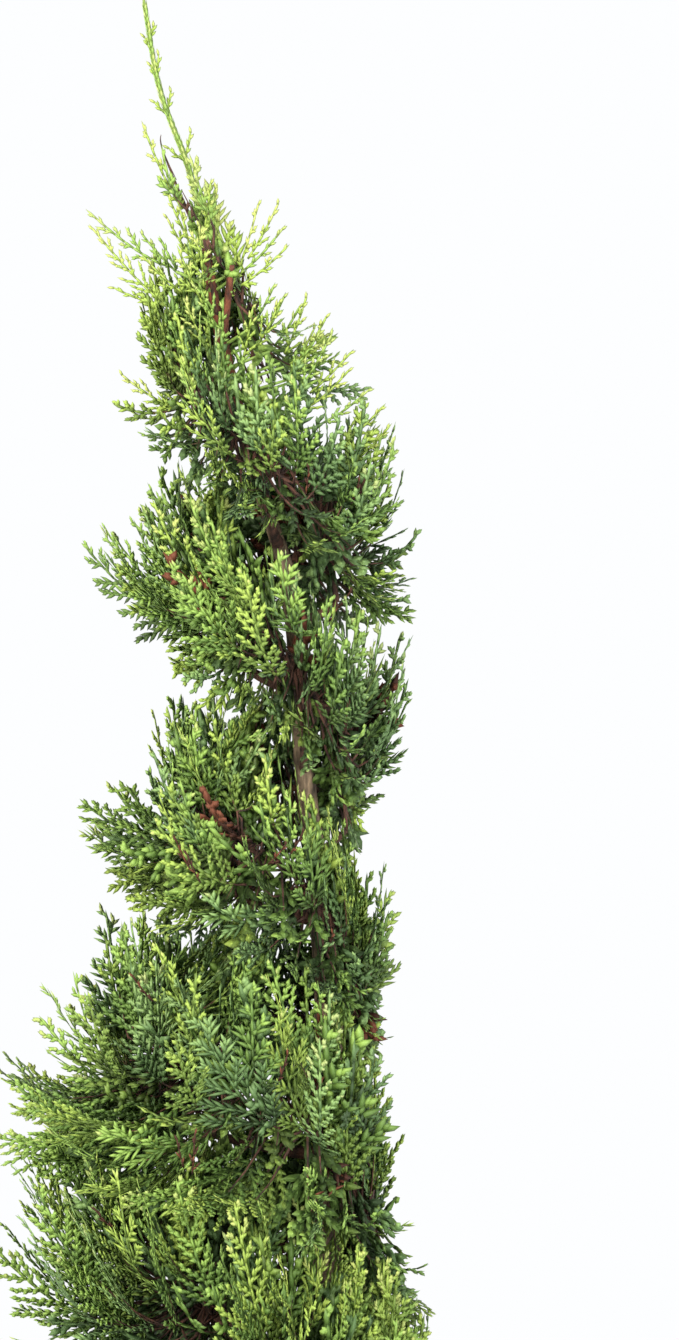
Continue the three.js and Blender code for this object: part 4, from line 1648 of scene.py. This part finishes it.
class TOPIARY_OT_trunk(bpy.types.Operator):
    """Grow the trunk with its bark"""

    bl_idname = "topiary.trunk"
    bl_label = "Trunk"

    def execute(self, context):
        """Level rings along the trunk's course. Each radius is the stem's, widened at the
        root flare, times one plus the furrows' relief, and halved inside the leader."""
        sizes, colours = context.scene.plant_sizes, context.scene.plant_colours
        z = np.linspace(TRUNK_FOOT - TRUNK_SINK, TIP_HEIGHT, TRUNK_ROWS)[:, None]
        a = ring_directions(TRUNK_SIDES)
        flare = np.clip(1 - (z - TRUNK_FOOT) / FLARE_HEIGHT, 0, 1) ** 2 * FLARE_GROWTH
        r = trunk_radius(z) * (1 + flare * (1 + LOBE_DEPTH * np.cos(FLARE_LOBES * a)))
        depth = sizes.bark_relief * np.clip(r / THICK_BARK_RADIUS, 0.25, 1)
        around = (a / TURN * KNUCKLES) % KNUCKLES
        knuckle = smooth_noise(around, z / KNUCKLE_HEIGHT, 12, wrap=KNUCKLES) - 0.5
        r = r * (1 + KNUCKLE_DEPTH * knuckle) * (1 + depth * (furrows(a, z, 17) - 0.1))
        r = r * (1 - 0.5 * np.clip((z - SHEATHED_FROM) / SHEATHED_OVER, 0, 1))
        r[[0, -1]] = 0
        points = round_points(r, a, z)
        points[..., :2] += trunk_point(np.maximum(z, TRUNK_FOOT))[..., :2]
        grey = bark("weathered_cypress_bark", colours.old_bark, 4.0, young=colours.new_bark)
        piece = make_piece(
            "trunk_bark",
            points.reshape(-1, 3),
            grid_faces(TRUNK_ROWS, TRUNK_SIDES),
            [grey],
            replaced=["trunk"],
        )
        close_poles(piece)
        return {"FINISHED"}


class TOPIARY_OT_limbs(bpy.types.Operator):
    """Grow the boughs and the limbs inside the foliage"""

    bl_idname = "topiary.limbs"
    bl_label = "Boughs"

    def execute(self, context):
        """Each mass has a bough from the trunk below it to its heart, which forks into two
        arms that follow the ribbon to both ends. Tubes with furrowed radii follow them, and
        the last one is the cut stub beside the leader."""
        paths, radii = [], []
        s = np.linspace(0, 1, LIMB_STEPS)[:, None]
        for m in range(SECTOR_COUNT):
            first, last = mass_span(m)
            middle = (first + last) / 2
            reach, _, (r, a, b) = section_at(middle)
            size = np.clip(reach / BOUGH_REACH, SMALLEST_BOUGH, 1)
            heart = ribbon_point(middle, r, 0)
            foot = trunk_point(heart[2] - BOUGH_DROP * pitch_at(middle))
            joint = ribbon_point(middle, r - a / 4, -b)
            bend = foot + (joint - foot) * 0.55 - BEND_DROP * UP
            paths.append(three_point_curve(foot, bend, joint, s))
            taper = BOUGH_FOOT_RADIUS - BOUGH_TIP_RADIUS
            radii.append((BOUGH_FOOT_RADIUS - taper * s[:, 0]) * size)
            for end in (first + ARM_SHORT, last - ARM_SHORT):
                t = middle + (end - middle) * s[:, 0]
                core = section_at(t)[2]
                arm = ribbon_point(t, core[0], 0.0)
                start = joint + (heart - joint) * np.clip(s / 0.3, 0, 1)
                blend = np.clip((s - 0.1) / 0.5, 0, 1)
                paths.append(start * (1 - blend) + arm * blend)
                radii.append((ARM_RADIUS - ARM_TAPER * s[:, 0]) * size)
        foot = trunk_point(STUB_FOOT)
        paths.append(foot + (STUB_TIP - foot) * s)
        radii.append(STUB_FOOT_RADIUS + (STUB_TIP_RADIUS - STUB_FOOT_RADIUS) * s[:, 0])
        self.join_limbs(np.array(paths), np.array(radii), context.scene.plant_colours)
        return {"FINISHED"}

    def join_limbs(self, paths, radii, colours):
        """One piece of furrowed tubes. Every tube reads the furrows' pattern 91 mm on from
        the one before, so that no two are alike."""
        n, k = radii.shape
        z = np.arange(k)[:, None] * 4.0 + np.arange(n)[:, None, None] * 91.0
        relief = 1 + LIMB_RELIEF * furrows(ring_directions(LIMB_SIDES), z, 31)
        vertices, faces = tubes(paths, radii, LIMB_SIDES, relief)
        stub = np.repeat(np.arange(n) == n - 1, len(faces) // n)
        red = bark("new_cypress_bark", colours.new_bark, 3.0, 0.7)
        boughs = [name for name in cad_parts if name.startswith("bough_")]
        make_piece(
            "bough_bark",
            vertices,
            faces,
            wood_materials() + [red],
            kinds=stub,
            replaced=boughs + ["cut_stub"],
        )


class TOPIARY_OT_foliage(bpy.types.Operator):
    """Grow the turns of foliage"""

    bl_idname = "topiary.foliage"
    bl_label = "Foliage"

    def execute(self, context):
        """Every spray of the crown is grown at once, and the shoots of each half turn are joined
        into a piece, with the twigs that carry them joined apart. Light is painted into the
        sprays: they are warmer on the side at the front left, where the key light falls, and
        lighter on top and at the thin top of the plant. The shaded sprays inside are darker and
        cooler, which is painted shade."""
        sizes = context.scene.plant_sizes
        outer = outer_courses(sizes.sprays)
        # Painted light: more warm greens on the side that the key light falls on
        side = np.cos(direction_at(outer.turn) - np.radians(KEY_LIT_SIDE))
        family = families(outer, 0.3 + 0.1 * side, 0.42)
        # Painted light: lighter tones on the top side of the ribbon and at the thin top of the
        # plant
        depth = -0.3 + 1.3 * chance(outer.item, 42) + 0.3 * np.sin(outer.angle)
        depth += 1.1 * np.clip(1 - outer.turn / 0.7, 0, 1)
        self.grow("sprays", outer, family, depth, sizes, 1.0)

        shaded = shaded_courses(sizes.shaded_sprays)
        # Painted shade: the sprays inside the crown take more cool greens and start from darker
        # tones than the outer ones; near the thin top they are lighter, as painted light.
        family = families(shaded, 0.2, 0.4)
        family[chance(shaded.item, 45) < DRY_SHARE] = DRY_FAMILY
        depth = -0.6 + 1.2 * chance(shaded.item, 42)
        depth += 1.2 * np.clip(1 - shaded.turn / 0.8, 0, 1)
        self.grow("shade", shaded, family, depth, sizes, SHADE_COARSENESS)
        self.dry_sprays(sizes)
        return {"FINISHED"}

    def dry_sprays(self, sizes):
        """Small dry sprays, left brown where they were shaded out."""
        n = len(DRY_SPRAYS)
        root, tip = DRY_SPRAYS[:, 0:3], DRY_SPRAYS[:, 3:6]
        item = FIRST_DRY_ITEM + np.arange(n)
        facing = toward_viewer(root, tip, item, 1.0, 0.3)
        sprays = Sprays(root, tip, facing, item, np.full(n, FLAT_SAG))
        shoots = grow_sprays(sprays, np.full(n, 0.7), sizes, fine=1.6)
        number = np.arange(len(shoots.owner))
        kinds = FIRST_DRY_TONE + (chance(number, 44) < 0.3)
        vertices, faces, tones = join_shoots(shoots, number, kinds)
        make_piece("dry_sprays", vertices, faces, foliage_materials(), kinds=tones)

    def grow(self, name, courses, family, depth, sizes, coarse):
        """Grows sprays along their courses and joins them by half turns, with their twigs.
        Each spray's root and tip are raised for its sag, so that it lies about its course."""
        clear = ~in_gap(courses.tip)
        courses = Courses(*(column[clear] for column in courses))
        sag = between(LEAST_SAG, MOST_SAG, courses.item, 12)
        rise = TIP_RISE * sag * np.linalg.norm(courses.tip - courses.root, axis=-1)
        root = courses.root + ROOT_RISE * rise[:, None] * UP
        tip = raise_tip(courses.tip, rise)
        sprays = Sprays(root, tip, courses.facing, courses.item, sag)
        shoots = grow_sprays(sprays, np.ones(len(root)), sizes, coarse)
        kinds = deal_tones(family[clear], depth[clear], shoots)
        half = half_turn(courses.mass)
        for h in range(2, half.max() + 1):
            masses = [m for m in range(SECTOR_COUNT) if half_turn(m) == h]
            nodes = [f"foliage_{mass_name(m)}" for m in masses]
            vertices, faces, tones = join_shoots(shoots, half[shoots.owner] == h, kinds)
            make_piece(
                f"{name}_turn_{h // 2}_{('front', 'back')[h % 2]}",
                vertices,
                faces,
                foliage_materials(),
                kinds=tones,
                replaced=nodes if name == "sprays" else (),
            )
        self.twigs(name, courses, sprays)

    def twigs(self, name, courses, sprays):
        """A twig to each spray: a curve from the nearest arm of its mass to the spray's root
        and on along the spray's axis, thinning all the way."""
        first, last = mass_span(courses.mass)
        middle = (first + last) / 2
        near = middle + 0.75 * (np.clip(courses.turn, first, last) - middle)
        core = section_at(near)[2]
        start, root = ribbon_point(near, core[0], 0.0)[:, None], sprays.root[:, None]
        s = np.linspace(0, 1, TWIG_STEPS)[None, :, None]
        rise = three_point_curve(start, (start + root) / 2 - BEND_DROP * UP, root, s)
        share = np.broadcast_to(TWIG_ALONG_SPRAY, (len(near), len(TWIG_ALONG_SPRAY)))
        paths = np.concatenate([rise, axis_points(sprays, share)], axis=1)
        vertices, faces = tubes(paths, np.broadcast_to(TWIG_RADII, paths.shape[:2]), 3)
        make_piece(f"{name}_twigs", vertices, faces, wood_materials())


class TOPIARY_OT_leader(bpy.types.Operator):
    """Grow the unclipped leader"""

    bl_idname = "topiary.leader"
    bl_label = "Leader"

    def execute(self, context):
        """The tip of the trunk is sheathed in close scale leaves and carries short sprays in
        two ranks that shorten upward. Single sprays stand round it at the thin top."""
        sizes = context.scene.plant_sizes
        z, side, rise, out = LEADER_SPRAYS.T
        stem = trunk_point(z)
        lean = np.stack([side * out, between(-4, 4, np.arange(len(z)), 62), rise], axis=-1)
        root = np.concatenate([TOP_SPRAYS[:, 0:3], stem])
        tip = np.concatenate([TOP_SPRAYS[:, 3:6], stem + lean])
        width = np.concatenate([TOP_SPRAYS[:, 6], np.full(len(z), 0.8)])
        item = FIRST_TOP_ITEM + np.arange(len(root))
        facing = toward_viewer(root, tip, item, 0.7, 0.2)
        sprays = Sprays(root, tip, facing, item, np.full(len(root), FLAT_SAG))
        shoots = grow_sprays(sprays, width, sizes, fine=1.0)
        sheath = self.sheath(len(root))
        shoots = Shoots(*(np.concatenate(columns) for columns in zip(shoots, sheath)))
        # Painted light: the sprays and scale leaves at the top of the plant start from light
        # tones.
        fresh = FAMILIES.index("fresh")
        family = np.append(np.where(chance(item, 41) < 0.3, fresh, 0), fresh)
        depth = np.append(between(1.2, 1.8, item, 42), 0.9)
        kinds = deal_tones(family, depth, shoots)
        self.stem()
        everything = np.full(len(kinds), True)
        vertices, faces, tones = join_shoots(shoots, everything, kinds)
        make_piece(
            "leader_sprays",
            vertices,
            faces,
            foliage_materials(),
            kinds=tones,
            replaced=["leader_foliage", "foliage_turn_0_left"],
        )
        self.twigs()
        return {"FINISHED"}

    def sheath(self, owner):
        """Scale leaves in four ranks up the leader, each leaning out a little."""
        k = np.arange(SCALES)
        up = SCALES_FROM + (TIP_HEIGHT - 5 - SCALES_FROM) * k / (SCALES - 1)
        stem = trunk_point(up)
        ahead = unit(trunk_point(up + 4) - stem)
        out = round_points(1.0, np.pi / 2 * k + 0.6 * chance(k, 65), 0.0)
        return Shoots(
            start=stem + out * (trunk_radius(up) * 0.55)[:, None],
            way=unit(ahead + 0.16 * out),
            length=between(4.6, 6.2, k, 67),
            wide=np.full(SCALES, 0.75),
            face=out,
            owner=np.full(SCALES, owner),
            outer=between(0.35, 0.95, k, 66),
        )

    def stem(self):
        """The skin under the leader's scale leaves, in the dark tone of the warm green as painted
        shade.
        """
        z = np.linspace(SHEATH_FROM, TIP_HEIGHT, 80)
        skin, faces = tubes(trunk_point(z)[None], (trunk_radius(z) * 0.68 + 0.15)[None], 8)
        # Painted shade: the darker tone of the warm green, for the skin in the shade of the scale
        # leaves
        green = leaf_material("warm", "dark")
        make_piece("leader_stem", skin, faces, [green])

    def twigs(self):
        """A straight green twig from the trunk to each single spray's root."""
        root = TOP_SPRAYS[:, None, 0:3]
        foot = trunk_point(TOP_SPRAYS[:, 2] - 8)[:, None]
        s = np.linspace(0, 1, TWIG_STEPS)[None, :, None]
        paths = foot * (1 - s) + root * s
        radii = np.broadcast_to(np.array([1.0, 0.9, 0.8, 0.7]), paths.shape[:2])
        vertices, faces = tubes(paths, radii, 5)
        green = leaf_material("fresh", "mid")
        make_piece("leader_twigs", vertices, faces, [green])


class TOPIARY_OT_stage(bpy.types.Operator):
    """Set up the floor, lights and camera"""

    bl_idname = "topiary.stage"
    bl_label = "Studio"

    def execute(self, context):
        """A round pale floor, white surroundings, a large soft key light at the upper left in
        front, and a level camera that frames the upper plant."""
        studio = context.scene.studio
        self.floor(context)
        world = bpy.data.worlds.new("white_room")
        world.use_nodes = True
        background = world.node_tree.nodes["Background"]
        background.inputs["Color"].default_value = srgb("#fdfeff")
        background.inputs["Strength"].default_value = studio.room
        context.scene.world = world
        for lamp, power in zip(LAMPS, (studio.key_power, studio.fill_power)):
            self.lamp(context, *lamp, power)
        self.camera(context, studio.distance)
        context.scene.view_settings.view_transform = "Standard"
        return {"FINISHED"}

    def floor(self, context):
        """A flat disc just under the pot."""
        sides = 96
        rim = round_points(FLOOR_RADIUS, ring_directions(sides), -FLOOR_DROP)
        mesh = bpy.data.meshes.new("floor")
        mesh.from_pydata((rim * MM).tolist(), [], [list(range(sides))])
        mesh.materials.append(painted_studio(context.scene.plant_colours.studio_paint))
        floor = bpy.data.objects.new("floor", mesh)
        context.scene.collection.objects.link(floor)

    def lamp(self, context, name, place, target, size, colour, power):
        """A soft square lamp that looks from its place at a target."""
        light = bpy.data.lights.new(name, "AREA")
        light.size = size
        light.energy = power
        light.color = srgb(colour)[:3]
        lamp = bpy.data.objects.new(name, light)
        lamp.location = place
        lamp.rotation_euler = look_along(np.array(target) - np.array(place))
        context.scene.collection.objects.link(lamp)

    def camera(self, context, distance):
        """The camera stands level with the middle of the picture, whose top is the plant's
        tip. The lens is long enough for half its height to fill half the sensor."""
        half_height = PICTURE_HEIGHT / 2 * PIXEL * MM
        across = (PICTURE_WIDTH / 2 - AXIS_COLUMN) * PIXEL * MM
        lens = bpy.data.cameras.new("camera")
        lens.sensor_width = SENSOR
        lens.lens = SENSOR / 2 * distance / half_height
        lens.clip_end = 50
        camera = bpy.data.objects.new("camera", lens)
        camera.location = (across, -distance, TIP_HEIGHT * MM - half_height)
        camera.rotation_euler = (np.pi / 2, 0, 0)
        context.scene.collection.objects.link(camera)
        context.scene.camera = camera


def look_along(way):
    """The rotation that points a lamp's -Z along a direction."""
    return Vector(way).to_track_quat("-Z", "Y").to_euler()


class TOPIARY_PT_panel(bpy.types.Panel):
    """Sizes and steps of the potted topiary"""

    bl_idname = "TOPIARY_PT_panel"
    bl_label = "Spiral Cypress"
    bl_space_type = "VIEW_3D"
    bl_region_type = "UI"
    bl_category = "Topiary"

    def draw(self, context):
        layout = self.layout
        scene = context.scene
        for group in (scene.plant_sizes, scene.plant_colours, scene.studio):
            box = layout.box()
            for key in group.bl_rna.properties.keys():
                if key not in {"rna_type", "name"}:
                    box.prop(group, key)
        for operator in OPERATORS:
            layout.operator(operator.bl_idname)


OPERATORS = (
    TOPIARY_OT_pot,
    TOPIARY_OT_mix,
    TOPIARY_OT_trunk,
    TOPIARY_OT_limbs,
    TOPIARY_OT_foliage,
    TOPIARY_OT_leader,
    TOPIARY_OT_stage,
)
CLASSES = (PlantSizes, PlantColours, StudioSettings, *OPERATORS, TOPIARY_PT_panel)


def register():
    """Registers the classes and the settings that they read."""
    for cls in CLASSES:
        bpy.utils.register_class(cls)
    bpy.types.Scene.plant_sizes = PointerProperty(type=PlantSizes)
    bpy.types.Scene.plant_colours = PointerProperty(type=PlantColours)
    bpy.types.Scene.studio = PointerProperty(type=StudioSettings)


def unregister():
    """Undoes register."""
    del bpy.types.Scene.studio
    del bpy.types.Scene.plant_colours
    del bpy.types.Scene.plant_sizes
    for cls in reversed(CLASSES):
        bpy.utils.unregister_class(cls)


def main():
    """Builds every piece in order."""
    register()
    bpy.ops.topiary.pot()
    bpy.ops.topiary.mix()
    bpy.ops.topiary.trunk()
    bpy.ops.topiary.limbs()
    bpy.ops.topiary.foliage()
    bpy.ops.topiary.leader()
    bpy.ops.topiary.stage()


if __name__ == "__main__":
    main()
